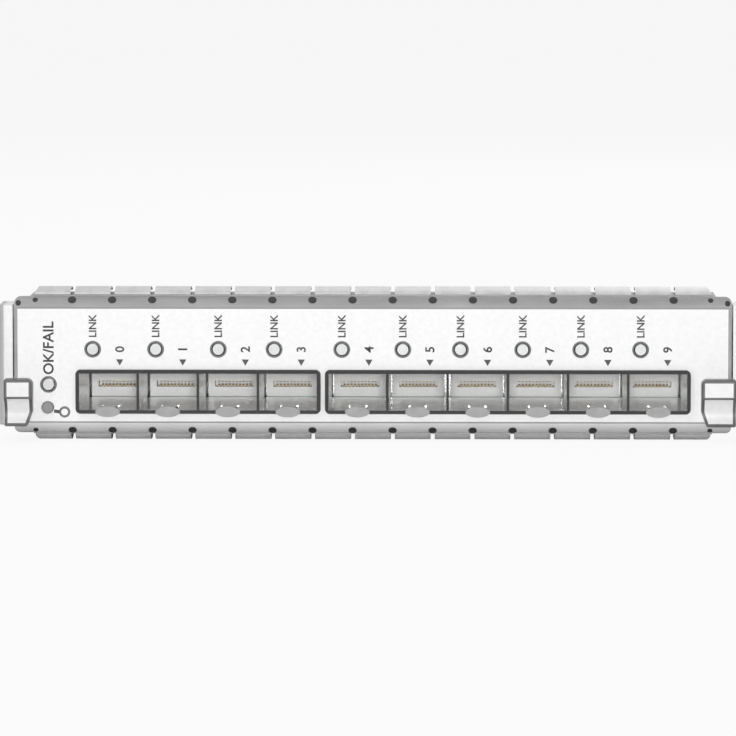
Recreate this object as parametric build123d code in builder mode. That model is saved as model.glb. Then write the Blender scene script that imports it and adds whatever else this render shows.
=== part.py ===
from build123d import *
from math import floor
import os

os.makedirs("parts", exist_ok=True)

# The origin is the middle of the tray's underside, with X along the faceplate, Y into
# the chassis and Z up. Every size is in millimetres.

# Fits shared by many pieces
running_gap = 0.1
seat_fit = 0.05

# Faceplate, folded from one sheet
plate_left_margin = 15.1
plate_right_margin = 10.2
plate_height = 32.5
plate_sheet = 1.5
bend_radius = 2.5
flange_depth = 18.0
plate_corner = 1.5
flange_end_inset = 3.6
clip_hole_diameter = 1.4

# Shielding strips of spring fingers on both flanges
finger_pitch = 9.5
finger_crest_setback = 4.05
finger_front_lean = 0.35
finger_rear_run = 0.6
finger_slot = 1.0
finger_rise = 2.0
finger_sheet = 0.3
strip_inset = 4.25
strip_depth = 9.0
strip_setback = 2.8
strip_end_slant = 1.2

# Carrier tray, folded from one sheet
tray_sheet = 1.2
tray_inset = 4.8
lip_slope = 2.0
wall_height = 15.5
wall_shoulder = 18.0
wall_slope_length = 30.0
tab_width = 8.0
vent_diameter = 4.5
vent_pitch = 11.0
vent_columns = 12
vent_rows = 6

# Main board on its standoffs
board_sheet = 1.6
board_lift = 2.5
board_side_gap = 1.0
board_front_gap = 0.4
board_rear_gap = 1.0
board_screw_setback = 6.0
standoff_diameter = 5.0
screw_diameter = 2.5
screw_head_diameter = 4.5
screw_head_height = 1.6
screw_head_rounding = 0.4
screw_recess_size = 1.3
screw_recess_depth = 0.8

# Port cages
port_pitch = 14.25
cage_height = 9.3
cage_length = 48.0
cage_proud = 0.6
cage_sheet = 0.3
cage_gap = 2.2
cage_four_count = 4
cage_six_count = 6
cage_vent_diameter = 1.8
cage_vent_pitch = 4.0

# Dark rims between the cages and the faceplate
rim_width = 0.55
rim_lip = 0.25
rim_collar = 0.8
rim_collar_depth = 1.6
rim_corner = 1.2

# Latch tongues of the cage floors
tongue_width = 3.4
tongue_length = 12.0
tongue_rise = 0.85
tongue_slot = 0.5
lip_width = 5.8
lip_height = 2.5
lip_reach = 0.9
floor_rear_gap = 3.0

# Host connectors at the back of the ports
connector_side_gap = 0.525
connector_height = 6.4
connector_depth = 9.6
connector_rear_gap = 2.1
card_slot_width = 9.4
card_slot_height = 1.5
card_slot_depth = 5.0
card_slot_lift = 3.3

# Link lights, one above each port, with their places from the port's middle
link_light_shifts = (-3.6, -2.9, -2.3, -3.3, -3.7, -3.5, -4.1, -3.6, -4.1, -4.2)
link_light_height = 20.05
pipe_diameter = 2.6
pipe_window_gap = 0.25
pipe_proud = 0.3
pipe_bend_radius = 2.6
pipe_rear_gap = 3.0
light_length = 1.6
light_width = 1.0
light_height = 0.6
holder_depth = 6.0
holder_setback = 20.0
holder_side_wall = 2.2
holder_notch_width = 3.5625
holder_notch_height = 2.2375

# Status light and offline button near the left end
status_inset = 8.1
status_height = 11.65
status_pipe_depth = 18.0
button_inset = 7.9
button_height = 6.15
button_diameter = 2.8
button_proud = 0.9
button_rounding = 0.3
button_collar_diameter = 3.8
button_collar_length = 0.8
button_stem_diameter = 1.6
button_travel = 0.8
switch_width = 3.4
switch_height = 3.8
switch_setback = 7.0
switch_depth = 5.5
switch_stem_grip = 1.4
switch_ear = 2.2
notch_clearance = 0.2

# Ejector levers at both ends
lever_gap = 0.35
lever_thickness = 3.25
lever_end_gap = 2.0
lever_corner = 1.6
pivot_inset = 1.7
pivot_setback = 8.0
pivot_pin_diameter = 1.8
knuckle_diameter = 3.5
knuckle_lift = 7.4
tail_length = 5.0
tail_thickness = 2.4
claw_notch_length = 2.6
claw_notch_depth = 1.3
tab_bottom = 2.05
tab_top = 13.25
tab_crease = 8.9
tab_reach = 5.5
tab_hollow = 2.6
tab_corner = 1.3
tab_inner_corner = 0.65
tab_edge_rounding = 0.4
tab_taper = 1.2
left_tab_overlap = 4.5
left_tab_overhang = 2.1
right_tab_overlap = 7.2
right_tab_overhang = 0.9
ear_thickness = 1.2
ear_gap = 0.2
bracket_sheet = 1.0
bracket_front = 4.0
bracket_length = 14.0
rivet_diameter = 2.4
rivet_head_diameter = 3.6
rivet_head_height = 0.7
rivet_spacing = 14.0
pin_head_diameter = 3.0
pin_head_height = 0.7

# Chips and their heat sinks
phy_chip_size = 23.0
phy_chip_height = 2.4
phy_chip_spacing = 72.0
phy_front_gap = 13.0
phy_sink_width = 50.0
phy_sink_depth = 34.0
framer_chip_size = 31.0
framer_chip_height = 2.8
framer_front_gap = 6.0
framer_rear_gap = 5.5
framer_left_gap = 9.85
framer_right_gap = 7.0
framer_sink_depth = 36.0
sink_base = 2.0
sink_top = 19.5
fin_thickness = 1.0
fin_pitch = 3.0
chip_edge = 0.3

# Power parts
power_module_width = 50.0
power_module_depth = 23.0
power_module_height = 8.5
power_module_side_gap = 10.0
power_module_shift = 2.0
inductor_size = 8.0
inductor_corner = 1.6
inductor_height = 5.0
inductor_spacing = 10.5
inductor_count = 3
inductor_side_gap = 13.0
capacitor_diameter = 6.3
capacitor_height = 7.7
capacitor_count = 4
capacitor_spacing = 8.0
capacitor_gap = 5.85
power_row_shift = -1.0

# Rear connectors and guide sockets
backplane_side_gap = 3.5
backplane_middle_gap = 24.0
backplane_depth = 15.0
backplane_height = 12.0
backplane_overhang = 1.5
contact_rows = 4
contact_margin = 3.6
contact_pitch = 2.8
contact_size = 1.2
contact_depth = 3.0
guide_width = 9.0
guide_height = 9.6
guide_depth = 16.0
guide_bore_diameter = 5.2
guide_bore_depth = 13.0
guide_mouth = 0.8
guide_inset = 6.0

# Places worked out from the sizes above
plate_width = (
    plate_left_margin + plate_right_margin + cage_gap
    + (cage_four_count + cage_six_count) * port_pitch
)
tray_width = plate_width - 2 * tray_inset
finger_count = round((plate_width - 2 * strip_inset) / finger_pitch)
phy_setback = cage_length + phy_front_gap + phy_sink_depth / 2
framer_setback = phy_setback + (phy_sink_depth + framer_sink_depth) / 2 + framer_front_gap
card_depth = (
    framer_setback + framer_sink_depth / 2 + framer_rear_gap
    + backplane_depth - backplane_overhang
)
face_y = -card_depth / 2
rear_y = card_depth / 2
plate_back_y = face_y + plate_sheet
lip_y = plate_back_y + bend_radius - plate_sheet
lip_end_y = face_y + flange_depth
board_bottom = tray_sheet + board_lift
board_top = board_bottom + board_sheet
wall_inner_x = tray_width / 2 - tray_sheet
board_half_width = wall_inner_x - board_side_gap
board_front_y = plate_back_y + rim_collar_depth + board_front_gap
board_rear_y = rear_y - board_rear_gap
cage_front_y = face_y - cage_proud
cage_rear_y = face_y + cage_length
cage_top = board_top + cage_height
cage_four_left = plate_left_margin - plate_width / 2
cage_four_width = cage_four_count * port_pitch
cage_six_width = cage_six_count * port_pitch
cage_four_x = cage_four_left + cage_four_width / 2
cage_six_x = cage_four_left + cage_four_width + cage_gap + cage_six_width / 2
cages = (("four", cage_four_x, cage_four_count), ("six", cage_six_x, cage_six_count))
port_centres = [
    middle + (slot - (count - 1) / 2) * port_pitch
    for name, middle, count in cages
    for slot in range(count)
]
link_light_x = [middle + shift for middle, shift in zip(port_centres, link_light_shifts)]
connector_width = port_pitch - 2 * cage_sheet - 2 * connector_side_gap
connector_front_y = cage_rear_y - cage_sheet - connector_rear_gap - connector_depth
status_x = status_inset - plate_width / 2
button_x = button_inset - plate_width / 2
pipe_leg_y = cage_rear_y + pipe_rear_gap
status_leg_y = face_y + status_pipe_depth
screw_y = face_y + (strip_setback + strip_depth + flange_depth) / 2
plate_screw_x = tray_width / 2 - tray_sheet - tab_width / 2
board_screw_x = board_half_width - standoff_diameter
board_screw_rows = (
    pipe_leg_y + board_screw_setback,
    board_rear_y - guide_depth - standoff_diameter,
)
board_screw_places = [(x, y) for x in (-board_screw_x, 0, board_screw_x) for y in board_screw_rows]
pivot_y = face_y + pivot_setback
pivot_x = plate_width / 2 - pivot_inset
lever_inner_x = plate_width / 2 + lever_gap
lever_outer_x = lever_inner_x + lever_thickness
lever_top = plate_height - lever_end_gap
knuckle_height = plate_height - 2 * knuckle_lift
left_tab = (plate_width / 2 - left_tab_overlap, plate_width / 2 + left_tab_overhang)
right_tab = (plate_width / 2 - right_tab_overlap, plate_width / 2 + right_tab_overhang)
guide_x = board_half_width - guide_inset
backplane_outer_x = guide_x - guide_width / 2 - backplane_side_gap
backplane_width = backplane_outer_x - backplane_middle_gap / 2
backplane_x = backplane_outer_x - backplane_width / 2
contact_columns = round((backplane_width - 2 * contact_margin) / contact_pitch)
power_module_x = power_module_side_gap + power_module_width / 2 - board_half_width
capacitor_x = power_module_x + power_module_width / 2 + capacitor_gap + capacitor_diameter / 2
inductor_x = board_half_width - inductor_side_gap - inductor_size / 2
framer_sink_left = capacitor_x + capacitor_diameter / 2 + framer_left_gap
framer_sink_right = inductor_x - inductor_size / 2 - framer_right_gap
framer_sink_width = framer_sink_right - framer_sink_left
framer_x = (framer_sink_left + framer_sink_right) / 2


def side_section(x):
    """Plane across the card at x, with the card's depth and height as its axes."""
    return Plane.YZ.offset(x)


def front_section(y):
    """Plane along the faceplate at y, looking out of the front."""
    return Plane.XZ.offset(-y)


def level(z):
    """Horizontal plane at height z."""
    return Plane.XY.offset(z)


# Faceplate: a channel folded from sheet, with rounded corners, and its cut-outs
with BuildPart() as faceplate:
    with BuildSketch(side_section(-plate_width / 2)):
        with BuildLine():
            FilletPolyline(
                (lip_end_y, plate_sheet / 2),
                (face_y + plate_sheet / 2, plate_sheet / 2),
                (face_y + plate_sheet / 2, plate_height - plate_sheet / 2),
                (lip_end_y, plate_height - plate_sheet / 2),
                radius=bend_radius - plate_sheet / 2,
            )
        trace(line_width=plate_sheet)
    extrude(amount=plate_width)
    with BuildSketch(front_section(lip_end_y)):
        with Locations((0, plate_height / 2)):
            RectangleRounded(plate_width, plate_height, plate_corner)
    extrude(amount=flange_depth, mode=Mode.INTERSECT)
    with BuildSketch(front_section(plate_back_y)):
        for name, middle, count in cages:
            with Locations((middle, board_top + cage_height / 2)):
                RectangleRounded(
                    count * port_pitch + 2 * (rim_width + seat_fit),
                    cage_height + 2 * (rim_width + seat_fit),
                    rim_corner,
                )
        with Locations(*[(x, link_light_height) for x in link_light_x]):
            Circle(pipe_diameter / 2 + pipe_window_gap)
        with Locations((status_x, status_height)):
            Circle(pipe_diameter / 2 + pipe_window_gap)
        with Locations((button_x, button_height)):
            Circle(button_diameter / 2 + running_gap)
    extrude(amount=plate_sheet, mode=Mode.SUBTRACT)
    notch_depth = flange_depth - bend_radius
    for notch_x in (flange_end_inset / 2 - plate_width / 2, plate_width / 2 - flange_end_inset / 2):
        with Locations((notch_x, lip_end_y - notch_depth / 2, plate_height / 2)):
            Box(flange_end_inset, notch_depth, plate_height, mode=Mode.SUBTRACT)
    clip_x = [(k - finger_count / 2) * finger_pitch for k in range(1, finger_count)]
    for bend_z, tilt in ((bend_radius, 135), (plate_height - bend_radius, 45)):
        with Locations(*[Pos(x, face_y + bend_radius, bend_z) * Rot(X=tilt) for x in clip_x]):
            Cylinder(clip_hole_diameter / 2, 3 * bend_radius, mode=Mode.SUBTRACT)
    with Locations(*[Pos(x, screw_y, 0) * Rot(X=180) for x in (-plate_screw_x, plate_screw_x)]):
        CounterSinkHole(
            screw_diameter / 2 + seat_fit, screw_head_diameter / 2 + seat_fit, plate_sheet
        )
    with Locations(*[(x, screw_y, plate_height) for x in (-plate_screw_x, plate_screw_x)]):
        CounterSinkHole(
            screw_diameter / 2 + seat_fit, screw_head_diameter / 2 + seat_fit, plate_sheet
        )
faceplate.part.label = "faceplate"
export_step(faceplate.part, "parts/faceplate.step")


def finger_strip(base_z, outward):
    """One strip of spring fingers on a flange; outward is 1 on the top and -1 below."""
    strip_length = finger_count * finger_pitch
    front_y = face_y + strip_setback
    rear_end_y = front_y + strip_depth
    crest_z = base_z + outward * (finger_rise - finger_sheet / 2)
    seat_z = base_z + outward * finger_sheet / 2
    free_z = base_z + outward * 2 * finger_sheet
    with BuildPart() as strip:
        with BuildSketch(side_section(-strip_length / 2)):
            with BuildLine():
                Line((rear_end_y, seat_z), (front_y, seat_z))
            trace(line_width=finger_sheet)
            with BuildLine():
                Spline(
                    (front_y + finger_sheet / 2, seat_z),
                    (front_y + finger_crest_setback, crest_z),
                    (rear_end_y - finger_sheet, free_z),
                    tangents=((finger_front_lean, outward), (finger_rear_run, -outward)),
                )
            trace(line_width=finger_sheet)
        extrude(amount=strip_length)
        slot_z = base_z + outward * (finger_sheet + finger_rise / 2)
        slots = [((k - finger_count / 2) * finger_pitch, front_y + strip_depth / 2, slot_z)
                 for k in range(1, finger_count)]
        with Locations(*slots):
            Box(finger_slot, strip_depth + 2 * finger_sheet, finger_rise, mode=Mode.SUBTRACT)
        with BuildSketch(front_section(rear_end_y + finger_sheet)):
            with BuildLine():
                Polyline(
                    (-strip_length / 2, base_z),
                    (-strip_length / 2 + strip_end_slant, base_z + outward * finger_rise),
                    (strip_length / 2 - strip_end_slant, base_z + outward * finger_rise),
                    (strip_length / 2, base_z),
                    close=True,
                )
            make_face()
        extrude(amount=strip_depth + 2 * finger_sheet, mode=Mode.INTERSECT)
    return strip


gasket_top = finger_strip(plate_height, 1)
gasket_top.part.label = "gasket_top"
export_step(gasket_top.part, "parts/gasket_top.step")

gasket_bottom = finger_strip(0, -1)
gasket_bottom.part.label = "gasket_bottom"
export_step(gasket_bottom.part, "parts/gasket_bottom.step")

# Carrier tray: floor with a joggled front lip, two side walls, tabs under the top flange
with BuildPart() as carrier_tray:
    joggle_y = lip_end_y + seat_fit
    with BuildSketch(side_section(-tray_width / 2)):
        with BuildLine():
            Polyline(
                (lip_y, plate_sheet),
                (joggle_y, plate_sheet),
                (joggle_y + lip_slope, 0),
                (rear_y, 0),
                (rear_y, tray_sheet),
                (joggle_y + lip_slope + tray_sheet / 2, tray_sheet),
                (joggle_y + tray_sheet / 2, plate_sheet + tray_sheet),
                (lip_y, plate_sheet + tray_sheet),
                close=True,
            )
        make_face()
    extrude(amount=tray_width)
    shoulder_y = plate_back_y + wall_shoulder
    for wall_x in (-tray_width / 2, tray_width / 2 - tray_sheet):
        with BuildSketch(side_section(wall_x)):
            with BuildLine():
                Polyline(
                    (lip_y, plate_sheet),
                    (joggle_y, plate_sheet),
                    (joggle_y + lip_slope, 0),
                    (rear_y, 0),
                    (rear_y, wall_height),
                    (shoulder_y + wall_slope_length, wall_height),
                    (shoulder_y, plate_height - plate_sheet),
                    (lip_y, plate_height - plate_sheet),
                    close=True,
                )
            make_face()
        extrude(amount=tray_sheet)
    tab_depth = flange_depth - bend_radius
    for wall_side in (-1, 1):
        with BuildSketch(level(plate_height - plate_sheet - tray_sheet)):
            with Locations((wall_side * (wall_inner_x - tab_width / 2), lip_y + tab_depth / 2)):
                Rectangle(tab_width, tab_depth)
        extrude(amount=tray_sheet)
    with BuildSketch(level(0)):
        vent_y = (pipe_leg_y + rear_y) / 2
        with Locations((0, vent_y)):
            with GridLocations(vent_pitch, vent_pitch, vent_columns, vent_rows):
                Circle(vent_diameter / 2)
        with Locations(*board_screw_places):
            Circle(standoff_diameter / 2, mode=Mode.SUBTRACT)
    extrude(amount=tray_sheet, mode=Mode.SUBTRACT)
    with BuildSketch(level(0)):
        with Locations(*[(x, screw_y) for x in (-plate_screw_x, plate_screw_x)]):
            Circle(screw_diameter / 2 + seat_fit)
    extrude(amount=plate_height, mode=Mode.SUBTRACT)
    rivet_y = face_y + bracket_front + bracket_length - rivet_head_diameter / 2
    with BuildSketch(side_section(-tray_width / 2)):
        with Locations((rivet_y, plate_height / 2)):
            with GridLocations(0, rivet_spacing, 1, 2):
                Circle(rivet_diameter / 2)
    extrude(amount=tray_width, mode=Mode.SUBTRACT)
carrier_tray.part.label = "carrier_tray"
export_step(carrier_tray.part, "parts/carrier_tray.step")

# Main board, with a notch for the button's switch and holes for the screws
switch_left = button_x - switch_width / 2
switch_right = button_x + switch_width / 2
switch_front_y = face_y + switch_setback
switch_rear_y = switch_front_y + switch_depth
with BuildPart() as main_board:
    with BuildSketch(level(board_bottom)):
        with Locations((0, (board_front_y + board_rear_y) / 2)):
            Rectangle(2 * board_half_width, board_rear_y - board_front_y)
        notch_width = board_half_width + switch_right + notch_clearance
        notch_depth = switch_rear_y + notch_clearance - board_front_y
        with Locations((notch_width / 2 - board_half_width, board_front_y + notch_depth / 2)):
            Rectangle(notch_width, notch_depth, mode=Mode.SUBTRACT)
        with Locations(*board_screw_places):
            Circle(screw_diameter / 2 + seat_fit, mode=Mode.SUBTRACT)
    extrude(amount=board_sheet)
main_board.part.label = "main_board"
export_step(main_board.part, "parts/main_board.step")

# Standoffs under the board and the screws that hold it
with BuildPart() as board_standoffs:
    with BuildSketch(level(tray_sheet)):
        with Locations(*board_screw_places):
            Circle(standoff_diameter / 2)
            Circle(screw_diameter / 2 + seat_fit, mode=Mode.SUBTRACT)
    extrude(amount=board_lift)
board_standoffs.part.label = "board_standoffs"
export_step(board_standoffs.part, "parts/board_standoffs.step")

with BuildPart() as board_screws:
    with BuildSketch(level(tray_sheet + seat_fit)):
        with Locations(*board_screw_places):
            Circle(screw_diameter / 2)
    extrude(amount=board_top - tray_sheet - seat_fit)
    with BuildSketch(level(board_top)):
        with Locations(*board_screw_places):
            Circle(screw_head_diameter / 2)
    extrude(amount=screw_head_height)
    fillet(board_screws.edges().group_by(Axis.Z)[-1], screw_head_rounding)
    with BuildSketch(level(board_top + screw_head_height)):
        with Locations(*board_screw_places):
            RegularPolygon(screw_recess_size, 6)
    extrude(amount=-screw_recess_depth, mode=Mode.SUBTRACT)
board_screws.part.label = "board_screws"
export_step(board_screws.part, "parts/board_screws.step")

# Countersunk screws that hold the faceplate's flanges to the tray
countersink_depth = (screw_head_diameter - screw_diameter) / 2
with BuildPart() as plate_screws:
    for x in (-plate_screw_x, plate_screw_x):
        for z, outward in ((0, -1), (plate_height, 1)):
            with BuildSketch(level(z)):
                with Locations((x, screw_y)):
                    Circle(screw_head_diameter / 2)
            with BuildSketch(level(z - outward * countersink_depth)):
                with Locations((x, screw_y)):
                    Circle(screw_diameter / 2)
            loft()
            with BuildSketch(level(z - outward * (plate_sheet + tray_sheet))):
                with Locations((x, screw_y)):
                    Circle(screw_diameter / 2)
            extrude(amount=outward * (plate_sheet + tray_sheet - countersink_depth))
            with BuildSketch(level(z)):
                with Locations((x, screw_y)):
                    RegularPolygon(screw_recess_size, 6)
            extrude(amount=-outward * screw_recess_depth, mode=Mode.SUBTRACT)
plate_screws.part.label = "plate_screws"
export_step(plate_screws.part, "parts/plate_screws.step")


def cage_shell(middle, count):
    """Top, sides and rear wall of a ganged cage, folded from sheet and open in front."""
    width = count * port_pitch
    with BuildPart() as shell:
        with BuildSketch(level(board_top)):
            with Locations((middle, (cage_front_y + cage_rear_y) / 2)):
                Rectangle(width, cage_rear_y - cage_front_y)
        extrude(amount=cage_height)
        with BuildSketch(level(board_top)):
            with Locations((middle, (cage_front_y + cage_rear_y) / 2 - cage_sheet)):
                Rectangle(width - 2 * cage_sheet, cage_rear_y - cage_front_y)
        extrude(amount=cage_height - cage_sheet, mode=Mode.SUBTRACT)
        with BuildSketch(level(cage_top)):
            with Locations((middle, (face_y + holder_setback + holder_depth + cage_rear_y) / 2)):
                with GridLocations(port_pitch, 0, count, 1):
                    with GridLocations(cage_vent_pitch, 2 * cage_vent_pitch, 2, 2):
                        Circle(cage_vent_diameter / 2)
        extrude(amount=-cage_sheet, mode=Mode.SUBTRACT)
    return shell


def cage_floor(middle, count):
    """Floor sheet of a cage, with one slotted latch tongue and curled lip for each port."""
    width = count * port_pitch - 2 * cage_sheet
    tongue_root_y = face_y + tongue_length
    floor_rear_y = connector_front_y - floor_rear_gap
    slot_length = tongue_root_y - cage_front_y
    lip_y_back = cage_front_y - lip_reach
    places = [middle + (slot - (count - 1) / 2) * port_pitch for slot in range(count)]
    with BuildPart() as floor_sheet:
        with BuildSketch(level(board_top)):
            with Locations((middle, (cage_front_y + floor_rear_y) / 2)):
                Rectangle(width, floor_rear_y - cage_front_y)
            with Locations(*[(x, cage_front_y + slot_length / 2) for x in places]):
                Rectangle(tongue_width + 2 * tongue_slot, slot_length, mode=Mode.SUBTRACT)
        extrude(amount=cage_sheet)
        for x in places:
            with BuildSketch(side_section(x - tongue_width / 2)):
                with BuildLine():
                    Polyline(
                        (tongue_root_y + cage_sheet, board_top + cage_sheet / 2),
                        (face_y + cage_proud, board_top + tongue_rise),
                        (lip_y_back - cage_sheet / 2, board_top + tongue_rise),
                    )
                trace(line_width=cage_sheet)
            extrude(amount=tongue_width)
            with BuildSketch(front_section(lip_y_back)):
                with Locations((x, board_top)):
                    Ellipse(lip_width / 2, lip_height / 2)
            extrude(amount=cage_sheet)
    return floor_sheet


def rim_gasket(middle, count):
    """Conductive rim round a cage, with a collar behind the plate and a lip over the edges."""
    width = count * port_pitch + 2 * seat_fit
    height = cage_height + seat_fit
    outline_middle = (middle, board_top + cage_height / 2)
    lip_back_y = cage_front_y - seat_fit
    rim_front_y = lip_back_y - rim_lip
    with BuildPart() as rim:
        with BuildSketch(front_section(plate_back_y)):
            with Locations(outline_middle):
                RectangleRounded(
                    width + 2 * (rim_width - seat_fit), cage_height + 2 * rim_width, rim_corner
                )
        extrude(amount=plate_back_y - rim_front_y)
        with BuildSketch(front_section(plate_back_y + rim_collar_depth)):
            with Locations(outline_middle):
                Rectangle(width + 2 * rim_collar - 2 * seat_fit, cage_height + 2 * rim_collar)
        extrude(amount=rim_collar_depth)
        with BuildSketch(front_section(plate_back_y + rim_collar_depth)):
            with Locations((middle, board_top + height / 2)):
                Rectangle(width, height)
        extrude(amount=plate_back_y + rim_collar_depth - lip_back_y, mode=Mode.SUBTRACT)
        with BuildSketch(front_section(lip_back_y)):
            with Locations(outline_middle):
                with GridLocations(port_pitch, 0, count, 1):
                    Rectangle(port_pitch - 2 * cage_sheet, cage_height - 2 * cage_sheet)
        extrude(amount=rim_lip, mode=Mode.SUBTRACT)
    return rim


def pipe_holder(middle, count, lights):
    """Bar on top of a cage, bored for the light pipes that run through it."""
    bar_top = link_light_height + pipe_diameter / 2 + holder_side_wall
    with BuildPart() as holder:
        with BuildSketch(front_section(face_y + holder_setback + holder_depth)):
            with Locations((middle, (cage_top + bar_top) / 2)):
                Rectangle(count * port_pitch, bar_top - cage_top)
            with Locations(*[(x, link_light_height) for x in lights]):
                Circle(pipe_diameter / 2 + seat_fit, mode=Mode.SUBTRACT)
        extrude(amount=holder_depth)
        with BuildSketch(level(cage_top)):
            with Locations((middle, face_y + holder_setback + holder_depth / 2)):
                with GridLocations(port_pitch, 0, count - 1, 1):
                    Rectangle(holder_notch_width, holder_depth)
        extrude(amount=holder_notch_height, mode=Mode.SUBTRACT)
    return holder


for name, middle, count in cages:
    shell = cage_shell(middle, count)
    shell.part.label = f"cage_shell_{name}"
    export_step(shell.part, f"parts/cage_shell_{name}.step")
    floor_sheet = cage_floor(middle, count)
    floor_sheet.part.label = f"cage_floor_{name}"
    export_step(floor_sheet.part, f"parts/cage_floor_{name}.step")
    rim = rim_gasket(middle, count)
    rim.part.label = f"rim_gasket_{name}"
    export_step(rim.part, f"parts/rim_gasket_{name}.step")
    lights = [x for x in link_light_x if abs(x - middle) < count * port_pitch / 2]
    holder = pipe_holder(middle, count, lights)
    holder.part.label = f"pipe_holder_{name}"
    export_step(holder.part, f"parts/pipe_holder_{name}.step")

# Walls between the ports of both cages, one solid each
with BuildPart() as cage_dividers:
    with BuildSketch(level(board_top + cage_sheet)):
        for name, middle, count in cages:
            with Locations((middle, (cage_front_y + cage_rear_y - cage_sheet) / 2)):
                with GridLocations(port_pitch, 0, count - 1, 1):
                    Rectangle(2 * cage_sheet, cage_rear_y - cage_sheet - cage_front_y)
    extrude(amount=cage_height - 2 * cage_sheet)
cage_dividers.part.label = "cage_dividers"
export_step(cage_dividers.part, "parts/cage_dividers.step")

# Host connectors, each with a card slot that faces the port
for port, middle in enumerate(port_centres):
    with BuildPart() as connector:
        with BuildSketch(level(board_top)):
            with Locations((middle, connector_front_y + connector_depth / 2)):
                Rectangle(connector_width, connector_depth)
        extrude(amount=connector_height)
        chamfer(connector.edges().filter_by(Axis.X).group_by(Axis.Y)[0], cage_sheet)
        with BuildSketch(front_section(connector_front_y)):
            with Locations((middle, board_top + card_slot_lift)):
                Rectangle(card_slot_width, card_slot_height)
        extrude(amount=-card_slot_depth, mode=Mode.SUBTRACT)
    connector.part.label = f"port_connector_{port}"
    export_step(connector.part, f"parts/port_connector_{port}.step")


def light_pipe(x, z, leg_y):
    """Clear rod from the faceplate back to leg_y, then down to the light on the board."""
    with BuildPart() as pipe:
        with BuildLine() as route:
            FilletPolyline(
                (x, face_y - pipe_proud, z),
                (x, leg_y, z),
                (x, leg_y, board_top + light_height + seat_fit),
                radius=pipe_bend_radius,
            )
        with BuildSketch(front_section(face_y - pipe_proud)):
            with Locations((x, z)):
                Circle(pipe_diameter / 2)
        sweep(path=route.line)
    return pipe


for port, x in enumerate(link_light_x):
    pipe = light_pipe(x, link_light_height, pipe_leg_y)
    pipe.part.label = f"link_light_pipe_{port}"
    export_step(pipe.part, f"parts/link_light_pipe_{port}.step")

status_light_pipe = light_pipe(status_x, status_height, status_leg_y)
status_light_pipe.part.label = "status_light_pipe"
export_step(status_light_pipe.part, "parts/status_light_pipe.step")

# Light emitting diodes on the board, one under each pipe
with BuildPart() as board_lights:
    with BuildSketch(level(board_top)):
        with Locations(*[(x, pipe_leg_y) for x in link_light_x], (status_x, status_leg_y)):
            Rectangle(light_width, light_length)
    extrude(amount=light_height)
board_lights.part.label = "board_lights"
export_step(board_lights.part, "parts/board_lights.step")

# Offline button: cap, collar behind the faceplate and stem into the switch
collar_y = plate_back_y + running_gap
stem_end_y = switch_front_y + switch_stem_grip
with BuildPart() as offline_button:
    with BuildSketch(front_section(collar_y)):
        with Locations((button_x, button_height)):
            Circle(button_diameter / 2)
    extrude(amount=collar_y - face_y + button_proud)
    fillet(offline_button.edges().group_by(Axis.Y)[0], button_rounding)
    with BuildSketch(front_section(collar_y + button_collar_length)):
        with Locations((button_x, button_height)):
            Circle(button_collar_diameter / 2)
    extrude(amount=button_collar_length)
    with BuildSketch(front_section(stem_end_y)):
        with Locations((button_x, button_height)):
            Circle(button_stem_diameter / 2)
    extrude(amount=stem_end_y - collar_y - button_collar_length)
offline_button.part.label = "offline_button"
export_step(offline_button.part, "parts/offline_button.step")

# Switch behind the button, set in the board's notch with an ear on the board
with BuildPart() as button_switch:
    with BuildSketch(front_section(switch_rear_y)):
        with Locations((button_x, button_height)):
            Rectangle(switch_width, switch_height)
    extrude(amount=switch_depth)
    with BuildSketch(level(board_top)):
        with Locations((switch_right + switch_ear / 2, (switch_front_y + switch_rear_y) / 2)):
            Rectangle(switch_ear, switch_depth)
    extrude(amount=cage_sheet)
    with BuildSketch(front_section(switch_front_y)):
        with Locations((button_x, button_height)):
            Circle(button_stem_diameter / 2 + running_gap)
    extrude(amount=-(switch_stem_grip + 2 * button_travel), mode=Mode.SUBTRACT)
button_switch.part.label = "button_switch"
export_step(button_switch.part, "parts/button_switch.step")


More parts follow.
